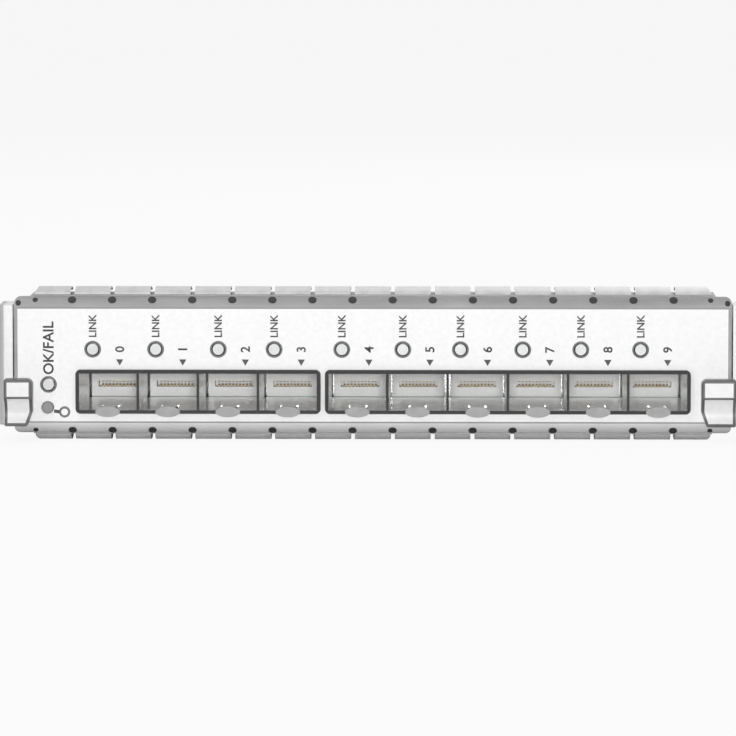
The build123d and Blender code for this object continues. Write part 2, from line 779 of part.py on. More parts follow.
def ejector_lever(side, tab_inner, tab_outer):
    """Lever at one end of the card; side is 1 at the right end and -1 at the left."""
    tail_y = pivot_y + tail_length
    slim_x = lever_outer_x - tail_thickness
    notch_x = lever_outer_x - claw_notch_depth
    with BuildPart() as lever:
        with BuildSketch(side_section(tab_inner)):
            with BuildLine():
                front = Polyline(
                    (face_y - tab_reach + tab_hollow / 2, tab_bottom),
                    (face_y - lever_gap, tab_bottom),
                    (face_y - lever_gap, tab_top),
                    (face_y - tab_reach, tab_top),
                    (face_y - tab_reach, tab_crease),
                )
                ThreePointArc(
                    front @ 1,
                    (face_y - tab_reach + tab_hollow, (tab_crease + tab_bottom) / 2),
                    front @ 0,
                )
            make_face()
        extrude(amount=tab_outer - tab_inner)
        with BuildSketch(front_section(face_y)):
            with BuildLine():
                FilletPolyline(
                    (tab_inner, tab_top),
                    (tab_outer, tab_top),
                    (tab_outer, tab_bottom),
                    (tab_inner + tab_taper, tab_bottom),
                    (tab_inner, (tab_crease + tab_bottom) / 2),
                    radius=(
                        tab_corner, tab_edge_rounding, tab_edge_rounding, tab_inner_corner, tab_corner
                    ),
                    close=True,
                )
            make_face()
        extrude(amount=tab_reach, mode=Mode.INTERSECT)
        tab_top_edge = lever.edges().filter_by(Axis.X).group_by(Axis.Z)[-1].sort_by(Axis.Y)[0]
        fillet(tab_top_edge, tab_edge_rounding)
        with BuildSketch(level(lever_end_gap)):
            with BuildLine():
                Polyline(
                    (lever_inner_x, face_y),
                    (lever_outer_x, face_y),
                    (lever_outer_x, pivot_y - claw_notch_length / 2),
                    (notch_x, pivot_y - claw_notch_length / 2),
                    (notch_x, pivot_y + claw_notch_length / 2),
                    (lever_outer_x, pivot_y + claw_notch_length / 2),
                    (lever_outer_x, tail_y),
                    (slim_x, tail_y),
                    (slim_x, pivot_y + knuckle_diameter / 2),
                    (lever_inner_x, pivot_y + knuckle_diameter / 2),
                    close=True,
                )
            make_face()
        extrude(amount=lever_top - lever_end_gap)
        outer_front_edge = lever.edges().filter_by(Axis.Z).group_by(Axis.X)[-1].sort_by(Axis.Y)[0]
        fillet(outer_front_edge, lever_corner)
        with BuildSketch(level(tab_bottom + tab_corner)):
            with Locations(((lever_inner_x + tab_outer) / 2, face_y)):
                Rectangle(tab_outer - lever_inner_x, 4 * lever_gap)
        extrude(amount=tab_top - tab_bottom - 2 * tab_corner)
        with BuildSketch(level(knuckle_lift)):
            with Locations((pivot_x, pivot_y)):
                Circle(knuckle_diameter / 2)
            with Locations(((pivot_x + lever_inner_x + lever_gap) / 2, pivot_y)):
                Rectangle(lever_inner_x + lever_gap - pivot_x, knuckle_diameter)
        extrude(amount=knuckle_height)
        with BuildSketch(level(knuckle_lift)):
            with Locations((pivot_x, pivot_y)):
                Circle(pivot_pin_diameter / 2 + seat_fit)
        extrude(amount=knuckle_height, mode=Mode.SUBTRACT)
        if side < 0:
            mirror(about=Plane.YZ, mode=Mode.REPLACE)
    return lever


def ejector_bracket(side):
    """Web riveted to the tray's wall, with an ear above and below the lever's knuckle."""
    with BuildPart() as bracket:
        with BuildSketch(level(bracket_bottom)):
            with Locations((tray_width / 2 + bracket_sheet / 2, bracket_middle_y)):
                Rectangle(bracket_sheet, bracket_length)
        extrude(amount=bracket_top - bracket_bottom)
        for ear_z in (bracket_bottom, bracket_top - ear_thickness):
            with BuildSketch(level(ear_z)):
                with Locations(((tray_width / 2 + pivot_x) / 2, pivot_y)):
                    Rectangle(pivot_x - tray_width / 2, knuckle_diameter)
                with Locations((pivot_x, pivot_y)):
                    Circle(knuckle_diameter / 2)
                    Circle(pivot_pin_diameter / 2 + seat_fit, mode=Mode.SUBTRACT)
            extrude(amount=ear_thickness)
        with BuildSketch(side_section(tray_width / 2)):
            with Locations((rivet_y, plate_height / 2)):
                with GridLocations(0, rivet_spacing, 1, 2):
                    Circle(rivet_diameter / 2)
        extrude(amount=bracket_sheet, mode=Mode.SUBTRACT)
        if side < 0:
            mirror(about=Plane.YZ, mode=Mode.REPLACE)
    return bracket


bracket_bottom = knuckle_lift - ear_gap - ear_thickness
bracket_top = knuckle_lift + knuckle_height + ear_gap + ear_thickness
bracket_middle_y = face_y + bracket_front + bracket_length / 2
for name, side, tab in (("left", -1, left_tab), ("right", 1, right_tab)):
    lever = ejector_lever(side, *tab)
    lever.part.label = f"ejector_{name}"
    export_step(lever.part, f"parts/ejector_{name}.step")
    bracket = ejector_bracket(side)
    bracket.part.label = f"ejector_bracket_{name}"
    export_step(bracket.part, f"parts/ejector_bracket_{name}.step")

# Headed pins through the brackets' ears and the levers' knuckles
with BuildPart() as ejector_pins:
    with BuildSketch(level(bracket_bottom)):
        with Locations((-pivot_x, pivot_y), (pivot_x, pivot_y)):
            Circle(pivot_pin_diameter / 2)
    extrude(amount=bracket_top - bracket_bottom)
    with BuildSketch(level(bracket_top)):
        with Locations((-pivot_x, pivot_y), (pivot_x, pivot_y)):
            Circle(pin_head_diameter / 2)
    extrude(amount=pin_head_height)
ejector_pins.part.label = "ejector_pins"
export_step(ejector_pins.part, "parts/ejector_pins.step")

# Rivets that hold the brackets to the tray's walls, flush outside
with BuildPart() as bracket_rivets:
    with BuildSketch(side_section(wall_inner_x)):
        with Locations((rivet_y, plate_height / 2)):
            with GridLocations(0, rivet_spacing, 1, 2):
                Circle(rivet_diameter / 2)
    extrude(amount=tray_sheet + bracket_sheet)
    with BuildSketch(side_section(wall_inner_x)):
        with Locations((rivet_y, plate_height / 2)):
            with GridLocations(0, rivet_spacing, 1, 2):
                Circle(rivet_head_diameter / 2)
    extrude(amount=-rivet_head_height)
    mirror(about=Plane.YZ)
bracket_rivets.part.label = "bracket_rivets"
export_step(bracket_rivets.part, "parts/bracket_rivets.step")


def chip(x, y, size, height):
    """Square chip package on the board with its upper edges eased."""
    with BuildPart() as package:
        with BuildSketch(level(board_top)):
            with Locations((x, y)):
                Rectangle(size, size)
        extrude(amount=height)
        chamfer(package.edges().group_by(Axis.Z)[-1], chip_edge)
    return package


def heat_sink(x, y, width, depth, base_z):
    """Finned heat sink on a chip, with its fins along the air flow."""
    fins = floor((width - fin_thickness) / fin_pitch) + 1
    with BuildPart() as sink:
        with BuildSketch(level(base_z)):
            with Locations((x, y)):
                Rectangle(width, depth)
        extrude(amount=sink_base)
        with BuildSketch(level(base_z + sink_base)):
            with Locations((x, y)):
                with GridLocations(fin_pitch, 0, fins, 1):
                    Rectangle(fin_thickness, depth)
        extrude(amount=sink_top - base_z - sink_base)
    return sink


phy_y = face_y + phy_setback
framer_y = face_y + framer_setback
chips = (
    ("phy", "_left", -phy_chip_spacing / 2, phy_y, phy_chip_size, phy_chip_height),
    ("phy", "_right", phy_chip_spacing / 2, phy_y, phy_chip_size, phy_chip_height),
    ("framer", "", framer_x, framer_y, framer_chip_size, framer_chip_height),
)
sink_sizes = {
    "phy": (phy_sink_width, phy_sink_depth),
    "framer": (framer_sink_width, framer_sink_depth),
}
for kind, place, x, y, size, height in chips:
    package = chip(x, y, size, height)
    package.part.label = f"{kind}_chip{place}"
    export_step(package.part, f"parts/{kind}_chip{place}.step")
    sink = heat_sink(x, y, *sink_sizes[kind], board_top + height)
    sink.part.label = f"{kind}_heat_sink{place}"
    export_step(sink.part, f"parts/{kind}_heat_sink{place}.step")

# Power module, inductors and capacitors
with BuildPart() as power_module:
    with BuildSketch(level(board_top)):
        with Locations((power_module_x, framer_y + power_module_shift)):
            Rectangle(power_module_width, power_module_depth)
    extrude(amount=power_module_height)
    chamfer(power_module.edges().group_by(Axis.Z)[-1], chip_edge)
power_module.part.label = "power_module"
export_step(power_module.part, "parts/power_module.step")

with BuildPart() as power_inductors:
    with BuildSketch(level(board_top)):
        with Locations((inductor_x, framer_y + power_row_shift)):
            with GridLocations(0, inductor_spacing, 1, inductor_count):
                RectangleRounded(inductor_size, inductor_size, inductor_corner)
    extrude(amount=inductor_height)
    chamfer(power_inductors.edges().group_by(Axis.Z)[-1], chip_edge)
power_inductors.part.label = "power_inductors"
export_step(power_inductors.part, "parts/power_inductors.step")

with BuildPart() as power_capacitors:
    with BuildSketch(level(board_top)):
        with Locations((capacitor_x, framer_y + power_row_shift)):
            with GridLocations(0, capacitor_spacing, 1, capacitor_count):
                Circle(capacitor_diameter / 2)
    extrude(amount=capacitor_height)
    fillet(power_capacitors.edges().group_by(Axis.Z)[-1], chip_edge)
power_capacitors.part.label = "power_capacitors"
export_step(power_capacitors.part, "parts/power_capacitors.step")

# Rear connectors with their contact pockets, and guide sockets for the chassis pins
for name, side in (("left", -1), ("right", 1)):
    with BuildPart() as backplane:
        rear_face_y = rear_y + backplane_overhang
        with BuildSketch(level(board_top)):
            with Locations((side * backplane_x, rear_face_y - backplane_depth / 2)):
                Rectangle(backplane_width, backplane_depth)
        extrude(amount=backplane_height)
        chamfer(backplane.edges().group_by(Axis.Y)[-1], chip_edge)
        with BuildSketch(front_section(rear_face_y)):
            with Locations((side * backplane_x, board_top + backplane_height / 2)):
                with GridLocations(contact_pitch, contact_pitch, contact_columns, contact_rows):
                    Rectangle(contact_size, contact_size)
        extrude(amount=contact_depth, mode=Mode.SUBTRACT)
    backplane.part.label = f"backplane_connector_{name}"
    export_step(backplane.part, f"parts/backplane_connector_{name}.step")
    with BuildPart() as guide:
        with BuildSketch(level(board_top)):
            with Locations((side * guide_x, rear_y - guide_depth / 2)):
                Rectangle(guide_width, guide_depth)
        extrude(amount=guide_height)
        with BuildSketch(front_section(rear_y)):
            with Locations((side * guide_x, board_top + guide_height / 2)):
                Circle(guide_bore_diameter / 2)
        extrude(amount=guide_bore_depth, mode=Mode.SUBTRACT)
        mouth = guide.edges().filter_by(GeomType.CIRCLE).sort_by(Axis.Y)[-1]
        chamfer(mouth, guide_mouth)
    guide.part.label = f"guide_socket_{name}"
    export_step(guide.part, f"parts/guide_socket_{name}.step")
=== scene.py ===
# %% [markdown]
# # An interface module with ten optics ports
# The construction file gives every sheet, cage, lever and chip of this card as a solid.
# This lesson dresses those solids: paint, plated metal, printed marks, spring fingers and
# the small parts on the board. All lengths are in metres, in the frame of the solids, so
# a millimetre gets a name of its own.

# %% Load the solids
import math
import random

import bmesh
import bpy
from mathutils import Matrix, Vector


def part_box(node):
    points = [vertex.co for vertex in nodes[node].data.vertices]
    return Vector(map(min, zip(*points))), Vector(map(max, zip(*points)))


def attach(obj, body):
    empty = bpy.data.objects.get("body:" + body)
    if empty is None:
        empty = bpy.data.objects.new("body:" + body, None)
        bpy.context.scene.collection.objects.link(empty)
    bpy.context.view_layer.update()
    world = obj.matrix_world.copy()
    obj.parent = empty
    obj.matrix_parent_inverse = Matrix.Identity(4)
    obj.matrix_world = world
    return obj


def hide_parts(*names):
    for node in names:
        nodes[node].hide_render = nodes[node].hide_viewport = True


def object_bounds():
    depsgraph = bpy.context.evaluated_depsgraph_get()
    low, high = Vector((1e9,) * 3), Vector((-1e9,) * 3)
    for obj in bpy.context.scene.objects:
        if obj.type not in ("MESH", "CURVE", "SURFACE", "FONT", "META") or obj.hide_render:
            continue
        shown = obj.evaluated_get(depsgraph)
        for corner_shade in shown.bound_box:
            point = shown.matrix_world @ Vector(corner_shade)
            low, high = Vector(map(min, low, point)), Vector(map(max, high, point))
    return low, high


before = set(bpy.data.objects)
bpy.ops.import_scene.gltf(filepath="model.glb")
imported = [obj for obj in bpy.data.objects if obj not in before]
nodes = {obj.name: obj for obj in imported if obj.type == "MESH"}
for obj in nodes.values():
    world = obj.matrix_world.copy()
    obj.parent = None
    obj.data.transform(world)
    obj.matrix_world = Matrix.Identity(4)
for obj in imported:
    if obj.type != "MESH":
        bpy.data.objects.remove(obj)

MM = 0.001
scene = bpy.context.scene
solid_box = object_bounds()
print("solids", len(nodes), "box in mm", [[round(v / MM, 2) for v in p] for p in solid_box])


def add_object(name, data):
    """An object in the scene for a mesh, a lamp, a camera or a curve."""
    item = bpy.data.objects.new(name, data)
    scene.collection.objects.link(item)
    return item

# %% [markdown]
# ## Places read from the solids
# Marks and small parts have to sit on what carries them, from whatever side they are seen.
# Their places are therefore read from the boxes of the loaded solids.

# %% Places of the plate, the board and the ports
plate_low, plate_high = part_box("faceplate")
FACE = plate_low.y
PLATE_MIDDLE = (plate_low.z + plate_high.z) / 2
BOARD_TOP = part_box("main_board")[1].z
PIPE_RADIUS = 1.3 * MM
PORTS = [sum(c.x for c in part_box(f"port_connector_{k}")) / 2 for k in range(10)]
LIGHTS = []
for k in range(10):
    low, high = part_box(f"link_light_pipe_{k}")
    LIGHTS.append(Vector(((low.x + high.x) / 2, FACE, high.z - PIPE_RADIUS)))
low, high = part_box("status_light_pipe")
STATUS = Vector(((low.x + high.x) / 2, FACE, high.z - PIPE_RADIUS))
low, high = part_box("offline_button")
BUTTON = Vector(((low.x + high.x) / 2, FACE, (low.z + high.z) / 2))
print("ports at x", [round(x / MM, 2) for x in PORTS])

# %% [markdown]
# ## Nodes
# The sky, the finishes and the repeating shapes are all made of nodes. One helper adds a
# node, and another does sums in whatever tree its sockets belong to.

# %% Node helpers
def add_node(tree, kind, inputs=None, **settings):
    """One node with its settings; an input takes a socket to link or a plain value."""
    node = tree.nodes.new(kind)
    for name, value in settings.items():
        setattr(node, name, value)
    for slot, value in (inputs or {}).items():
        if isinstance(value, bpy.types.NodeSocket):
            tree.links.new(value, node.inputs[slot])
        else:
            node.inputs[slot].default_value = value
    return node


def do_math(operation, *values):
    """A Math node on sockets or plain numbers, in the tree of its first socket."""
    tree = next(v.id_data for v in values if isinstance(v, bpy.types.NodeSocket))
    values = dict(enumerate(values))
    return add_node(tree, "ShaderNodeMath", values, operation=operation).outputs[0]


def distance(value, middle):
    """How far a value socket is from a plain number."""
    return do_math("ABSOLUTE", do_math("SUBTRACT", value, middle), 0)


# %% [markdown]
# ## Camera
# The picture is taken almost straight from the front, a little from above and from right of
# the middle, which the inner walls of the ports give away. A long lens at 1.2 m keeps the
# plate's edges parallel, as they are in the picture.

# %% Camera
camera_data = bpy.data.cameras.new("camera")
camera = add_object("camera", camera_data)
aim = Vector((-1.07 * MM, FACE, 15.65 * MM))
DISTANCE = 1.2
ELEVATION = math.radians(5)
camera.location = aim + Vector((
    18.5 * MM, -DISTANCE * math.cos(ELEVATION), DISTANCE * math.sin(ELEVATION)
))
camera.rotation_euler = (aim - camera.location).to_track_quat("-Z", "Y").to_euler()
camera_data.sensor_width = 36
camera_data.lens = 247.7
scene.camera = camera
print("camera at", [round(v, 4) for v in camera.location])

# %% [markdown]
# ## Light
# The card is shown without hard shadows, so the upper and rear lamps are large and soft. A
# smaller one stands near the camera and looks into the ports, because a port is a deep box
# that side light never reaches. The world is white only to the camera, to glossy and to
# clear surfaces.

# %% World and lamps
scene.view_settings.view_transform = "Standard"
world = bpy.data.worlds.new("studio")
scene.world = world
world.use_nodes = True
air = world.node_tree
air.nodes.clear()
ray = add_node(air, "ShaderNodeLightPath").outputs
any_glossy = do_math("MAXIMUM", ray["Is Glossy Ray"], ray["Is Transmission Ray"])
seen = do_math("MAXIMUM", ray["Is Camera Ray"], any_glossy)
white = (1, 1, 1, 1)
dim = add_node(air, "ShaderNodeBackground", {"Color": white, "Strength": 0.21})
bright = add_node(air, "ShaderNodeBackground", {"Color": white, "Strength": 1.0})
pick = add_node(air, "ShaderNodeMixShader", {
    "Fac": seen, 1: dim.outputs[0], 2: bright.outputs[0],
})
add_node(air, "ShaderNodeOutputWorld", {"Surface": pick.outputs[0]})


def add_lamp(name, place, target, size, power):
    """One square area lamp that looks at a point."""
    data = bpy.data.lights.new(name, "AREA")
    data.shape = "SQUARE"
    data.size = size
    data.energy = power
    lamp = add_object(name, data)
    lamp.location = place
    lamp.rotation_euler = (Vector(target) - Vector(place)).to_track_quat("-Z", "Y").to_euler()
    return lamp


add_lamp("front lamp", (0.03, -1.75, 0.17), (0, FACE, 0.015), 0.24, 14.0)
add_lamp("upper lamp", (-0.5, -0.5, 1.2), (0, 0, 0.01), 0.8, 6.0)
add_lamp("rear lamp", (0.5, 0.9, 0.8), (0, 0, 0.01), 1.2, 5.0)

# %% [markdown]
# ## Helpers for finishes
# Every finish is a Principled shader. What is the same all over is set on the shader's own
# sockets. What varies comes from noise in Object coordinates, so that the grain keeps its
# real size on every piece, and nothing slides when the camera moves.

# %% Helpers for finishes
def rgba(color):
    """A grey given as one number, or a colour given as three, without transparency."""
    return (*color, 1) if isinstance(color, tuple) else (color, color, color, 1)


def new_finish(name, color, roughness, metallic=0.0, **sockets):
    """A material whose Principled shader has the given plain values."""
    finish = bpy.data.materials.new(name)
    finish.use_nodes = True
    shader = finish.node_tree.nodes["Principled BSDF"]
    shader.inputs["Base Color"].default_value = rgba(color)
    shader.inputs["Roughness"].default_value = roughness
    shader.inputs["Metallic"].default_value = metallic
    for socket, value in sockets.items():
        shader.inputs[socket.replace("_", " ")].default_value = value
    return finish


def lead(finish, value, socket):
    """Lead a value into a socket of the finish's shader."""
    tree = finish.node_tree
    tree.links.new(value, tree.nodes["Principled BSDF"].inputs[socket])


def grain(finish, scale, stretch=(1, 1, 1), detail=3.0):
    """A noise in Object coordinates, stretched along the axes; gives its value socket."""
    tree = finish.node_tree
    place = add_node(tree, "ShaderNodeTexCoord").outputs["Object"]
    turn = add_node(tree, "ShaderNodeMapping", {"Vector": place, "Scale": stretch})
    noise = {"Vector": turn.outputs["Vector"], "Scale": scale, "Detail": detail}
    return add_node(tree, "ShaderNodeTexNoise", noise).outputs["Fac"]


def tone(value, dark, light, start=0.3, end=0.7):
    """A colour that runs from dark to light as a value runs from start to end."""
    ramp = add_node(value.id_data, "ShaderNodeValToRGB", {"Fac": value})
    for stop, place, color in zip(ramp.color_ramp.elements, (start, end), (dark, light)):
        stop.position = place
        stop.color = rgba(color)
    return ramp.outputs["Color"]


def set_roughness(finish, value, low, high):
    """Let the roughness run between two values with a value socket."""
    spread = {"Value": value, "To Min": low, "To Max": high}
    spread = add_node(finish.node_tree, "ShaderNodeMapRange", spread)
    lead(finish, spread.outputs["Result"], "Roughness")


def set_bump(finish, value, depth, strength=0.5):
    """Raise the surface with a value socket; depth is in metres."""
    bump = {"Height": value, "Strength": strength, "Distance": depth}
    bump = add_node(finish.node_tree, "ShaderNodeBump", bump)
    lead(finish, bump.outputs["Normal"], "Normal")


def blend_colors(factor, first, second):
    """Mix two colour sockets or plain colours by a factor socket."""
    first, second = (
        c if isinstance(c, bpy.types.NodeSocket) else rgba(c) for c in (first, second)
    )
    inputs = {0: factor, 6: first, 7: second}
    return add_node(factor.id_data, "ShaderNodeMix", inputs, data_type="RGBA").outputs[2]


def place_axes(finish):
    """The X, Y and Z of a point in Object coordinates, as three sockets."""
    place = add_node(finish.node_tree, "ShaderNodeTexCoord").outputs["Object"]
    return add_node(finish.node_tree, "ShaderNodeSeparateXYZ", {0: place}).outputs


def give(finish, *names):
    """Put one finish on loaded solids."""
    for name in names:
        materials = nodes[name].data.materials
        materials.clear()
        materials.append(finish)


# %% [markdown]
# ## Floor
# The card lies on a white table. The camera sees the table mostly as pure white, and the
# rest of its tone still receives the card's soft shadow.

# %% Floor
floor_z = solid_box[0][2]
floor_mesh = bpy.data.meshes.new("floor")
FLOOR_REACH = 12
corners = [
    (x * FLOOR_REACH, y * FLOOR_REACH, floor_z) for x, y in ((-1, -1), (1, -1), (1, 1), (-1, 1))
]
floor_mesh.from_pydata(corners, [], [(0, 1, 2, 3)])
floor = add_object("floor", floor_mesh)
floor_white = new_finish("floor_white", 0.9, 0.9)
tree = floor_white.node_tree
ray = add_node(tree, "ShaderNodeLightPath").outputs["Is Camera Ray"]
share = add_node(tree, "ShaderNodeMixShader", {
    "Fac": do_math("MULTIPLY", ray, 0.9), 1: tree.nodes["Principled BSDF"].outputs[0],
    2: add_node(tree, "ShaderNodeEmission").outputs[0],
})
tree.links.new(share.outputs[0], tree.nodes["Material Output"].inputs["Surface"])
floor_mesh.materials.append(floor_white)
print("floor at z", round(floor_z / MM, 2), "mm")

# %% [markdown]
# ## Faceplate finish
# The plate is folded from plated sheet. Its flat front carries a white coat with a fine
# orange-peel texture, and the coat stops where the bends begin, so the bends and flanges
# stay bare. One material does both: it compares a point's height and depth with the limits
# of the coat, and paints a thin grey line of painted shade along the edge of the coat, where
# the bends turn away. The bare lower bend and flange are painted lighter than the upper
# ones, as painted light.

# %% Faceplate finish
faceplate_paint = new_finish("faceplate_paint", 0.9, 0.45)
axes = place_axes(faceplate_paint)
COAT_HALF = 13.75 * MM
COAT_INSET = 0.8 * MM
from_middle = distance(axes[2], PLATE_MIDDLE)
in_height = do_math("LESS_THAN", from_middle, COAT_HALF)
in_front = do_math("LESS_THAN", axes[1], FACE + 0.1 * MM)
coated = do_math("MULTIPLY", in_height, in_front)
from_side = do_math("ABSOLUTE", axes[0], 0)
in_width = do_math("LESS_THAN", from_side, plate_high.x - COAT_INSET)
coated = do_math("MULTIPLY", coated, in_width)
# Painted shade: a thin grey line along the coat's edge, where the bends begin.
edge = do_math("GREATER_THAN", from_middle, COAT_HALF - 0.35 * MM)
peel = grain(faceplate_paint, 900, detail=2.0)
zinc = grain(faceplate_paint, 260, stretch=(0.3, 1, 1), detail=5.0)
coat_color = tone(peel, 0.86, 0.91)
coat_color = blend_colors(edge, coat_color, 0.23)
zinc_color = tone(zinc, (0.27, 0.27, 0.272), (0.34, 0.34, 0.342))
# Painted light: the bare lower bend and flange are painted lighter than the upper ones.
under = do_math("LESS_THAN", axes[2], PLATE_MIDDLE - COAT_HALF)
zinc_color = blend_colors(under, zinc_color, 0.6)
lead(faceplate_paint, blend_colors(coated, zinc_color, coat_color), "Base Color")
bare = do_math("SUBTRACT", 1, coated)
lead(faceplate_paint, do_math("MULTIPLY", bare, 0.3), "Metallic")
lead(faceplate_paint, do_math("ADD", do_math("MULTIPLY", bare, 0.15), 0.45), "Roughness")
set_bump(faceplate_paint, peel, 0.006 * MM, 0.25)
give(faceplate_paint, "faceplate")
coat_ends = [round((PLATE_MIDDLE + side * COAT_HALF) / MM, 2) for side in (-1, 1)]
print("coat between z", coat_ends, "mm")

# %% [markdown]
# ## Sheet metals
# The tray is zinc plated steel with rolling marks along its depth. The cages are stamped
# from bright tinned sheet; only their top sheet keeps that bright colour, and the walls and
# dividers are painted darker, as painted shade. The brackets, pins and screws are nickel
# plated. Each metal differs from the next in the size and the run of its grain.

# %% Sheet metal finishes
def new_metal(name, dark, light, scale, stretch, roughness, metallic=0.85):
    """A metal whose colour and roughness follow one stretched grain."""
    finish = new_finish(name, light, roughness[0], metallic)
    lines = grain(finish, scale, stretch, detail=5.0)
    lead(finish, tone(lines, dark, light), "Base Color")
    set_roughness(finish, lines, *roughness)
    set_bump(finish, lines, 0.004 * MM, 0.3)
    return finish


tray_metal = new_metal(
    "tray_metal", (0.46, 0.47, 0.48), (0.58, 0.59, 0.6), 420, (1, 0.12, 1), (0.32, 0.5)
)
cage_metal = new_finish("cage_metal", 0.92, 0.2, 0.9)
rolled = grain(cage_metal, 300, (1, 0.3, 1), detail=5.0)
set_roughness(cage_metal, rolled, 0.2, 0.32)
set_bump(cage_metal, rolled, 0.004 * MM, 0.3)
cage_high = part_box("cage_shell_four")[1]
CROWN_SHEET = 0.2 * MM
# Painted shade: the top sheet of the cages is painted bright and every other surface darker.
lit_crown = do_math("GREATER_THAN", place_axes(cage_metal)[2], cage_high.z - CROWN_SHEET
)
lit_sheet = tone(rolled, 0.84, 0.92)
shaded_sheet = tone(rolled, (0.4, 0.41, 0.42), (0.5, 0.51, 0.52))
lead(cage_metal, blend_colors(lit_crown, lit_sheet, shaded_sheet), "Base Color")
bracket_metal = new_metal(
    "bracket_metal", 0.5, 0.62, 600, (1, 1, 0.2), (0.28, 0.42)
)
pin_steel = new_metal(
    "pin_steel", (0.55, 0.55, 0.56), (0.68, 0.68, 0.69), 900, (1, 1, 0.1), (0.18, 0.3), 1.0
)
screw_steel = new_metal(
    "screw_steel", (0.5, 0.5, 0.52), (0.64, 0.64, 0.66), 1500, (1, 1, 1), (0.22, 0.38), 1.0
)
guide_metal = new_metal(
    "guide_metal", (0.42, 0.42, 0.41), (0.55, 0.55, 0.54), 500, (1, 1, 1), (0.38, 0.55)
)
sink_aluminium = new_metal(
    "sink_aluminium", (0.5, 0.5, 0.51), (0.62, 0.62, 0.63), 700, (1, 0.04, 1), (0.3, 0.48)
)
give(tray_metal, "carrier_tray")
give(cage_metal, "cage_shell_four", "cage_shell_six", "cage_dividers")
give(bracket_metal, "ejector_bracket_left", "ejector_bracket_right")
give(pin_steel, "ejector_pins", "bracket_rivets")
give(screw_steel, "board_screws", "plate_screws", "board_standoffs")
give(guide_metal, "guide_socket_left", "guide_socket_right")
give(sink_aluminium, "phy_heat_sink_left", "phy_heat_sink_right", "framer_heat_sink")
print("metals", 8)

# %% [markdown]
# ## Cage floors
# A latch tongue ends in a curled lip, which is painted greyer than the cage as painted
# shade. The floor is one solid, so its finish changes with depth: grey in front of the
# plate, bright inside.

# %% Cage floor finish
cage_floor_metal = new_finish("cage_floor_metal", (0.8, 0.8, 0.81), 0.4)
axes = place_axes(cage_floor_metal)
# Painted shade: the curled lips in front of the plate are painted grey.
ahead = do_math("LESS_THAN", axes[1], FACE - 0.7 * MM)
marks = grain(cage_floor_metal, 420, (1, 0.3, 1), 4.0)
inner = tone(marks, 0.86, 0.93)
outer = tone(marks, 0.33, 0.4)
lead(cage_floor_metal, blend_colors(ahead, inner, outer), "Base Color")
inside = do_math("SUBTRACT", 1, ahead)
lead(cage_floor_metal, do_math("MULTIPLY", inside, 0.9), "Metallic")
matt = do_math("MULTIPLY", ahead, 0.35)
lead(cage_floor_metal, do_math("ADD", matt, 0.25), "Roughness")
set_bump(cage_floor_metal, marks, 0.004 * MM, 0.3)
give(cage_floor_metal, "cage_floor_four", "cage_floor_six")

# %% [markdown]
# ## Rubber and plastics
# The rims round the cages are black conductive rubber. The connectors, the light pipe
# holders, the button and the switch are moulded, which leaves a fine spark-eroded texture.
# The light pipes are clear, a little cloudy, and catch light at their front ends.

# %% Rubber and plastic finishes
def new_plastic(name, dark, light, scale, roughness, bump=0.006 * MM, **sockets):
    """A moulded surface with a fine texture and a slight change of tone."""
    finish = new_finish(name, light, roughness[0], 0.0, **sockets)
    texture = grain(finish, scale, detail=3.0)
    lead(finish, tone(texture, dark, light), "Base Color")
    set_roughness(finish, texture, *roughness)
    set_bump(finish, texture, bump, 0.4)
    return finish


rim_rubber = new_plastic(
    "rim_rubber", (0.016, 0.016, 0.017), (0.035, 0.035, 0.037), 2500, (0.6, 0.8)
)
port_plastic = new_plastic(
    "port_plastic", (0.88, 0.88, 0.87), (0.94, 0.94, 0.93), 1800, (0.45, 0.6)
)
holder_plastic = new_plastic(
    "holder_plastic", (0.03, 0.03, 0.032), (0.06, 0.06, 0.063), 1600, (0.4, 0.6)
)
button_plastic = new_plastic(
    "button_plastic", 0.2, 0.27, 2400, (0.4, 0.55)
)
switch_plastic = new_plastic(
    "switch_plastic", 0.02, 0.05, 1800, (0.4, 0.6)
)
pipe_clear = new_plastic(
    "pipe_clear", (0.92, 0.93, 0.93), (0.97, 0.98, 0.98), 400, (0.12, 0.22), 0.002 * MM,
    Transmission_Weight=0.25, IOR=1.49,
)
backplane_plastic = new_plastic(
    "backplane_plastic", (0.05, 0.05, 0.055), (0.09, 0.09, 0.095), 1500, (0.4, 0.6)
)
light_body = new_plastic("light_body", (0.75, 0.73, 0.6), (0.9, 0.88, 0.75), 3000, (0.3, 0.5))
give(rim_rubber, "rim_gasket_four", "rim_gasket_six")
give(port_plastic, *[f"port_connector_{k}" for k in range(10)])
give(holder_plastic, "pipe_holder_four", "pipe_holder_six")
give(button_plastic, "offline_button")
give(switch_plastic, "button_switch")
give(pipe_clear, "status_light_pipe", *[f"link_light_pipe_{k}" for k in range(10)])
give(backplane_plastic, "backplane_connector_left", "backplane_connector_right")
give(light_body, "board_lights")
print("plastics", 8)

# %% [markdown]
# ## Ejector levers
# The levers are die cast and painted the same white as the plate, with a coarser, softer
# paint film. Handling has worn the paint a little greyer in broad patches. Dark grey bands
# along the edges of each thumb tab and along its crease are painted shade, and so is the
# darker outer flank of each lever.

# %% Lever finish
lever_paint = new_finish("lever_paint", 0.85, 0.4)
film = grain(lever_paint, 700, detail=2.0)
wear_and_corner_shade = grain(lever_paint, 90, detail=4.0)
fresh = tone(film, 0.82, 0.88)
worn = do_math("MULTIPLY", wear_and_corner_shade, 0.18)
coat = blend_colors(worn, fresh, 0.55)
set_roughness(lever_paint, wear_and_corner_shade, 0.35, 0.5)
set_bump(lever_paint, film, 0.01 * MM, 0.3)


EDGE_WIDTH = 0.7 * MM
TAB_LOW, TAB_HIGH = 2.05 * MM, 13.25 * MM
CREASE_Z, CREASE_HALF = 8.9 * MM, 0.3 * MM
TAPER_TOP, TAPER_SHARE = 5.5 * MM, 0.35


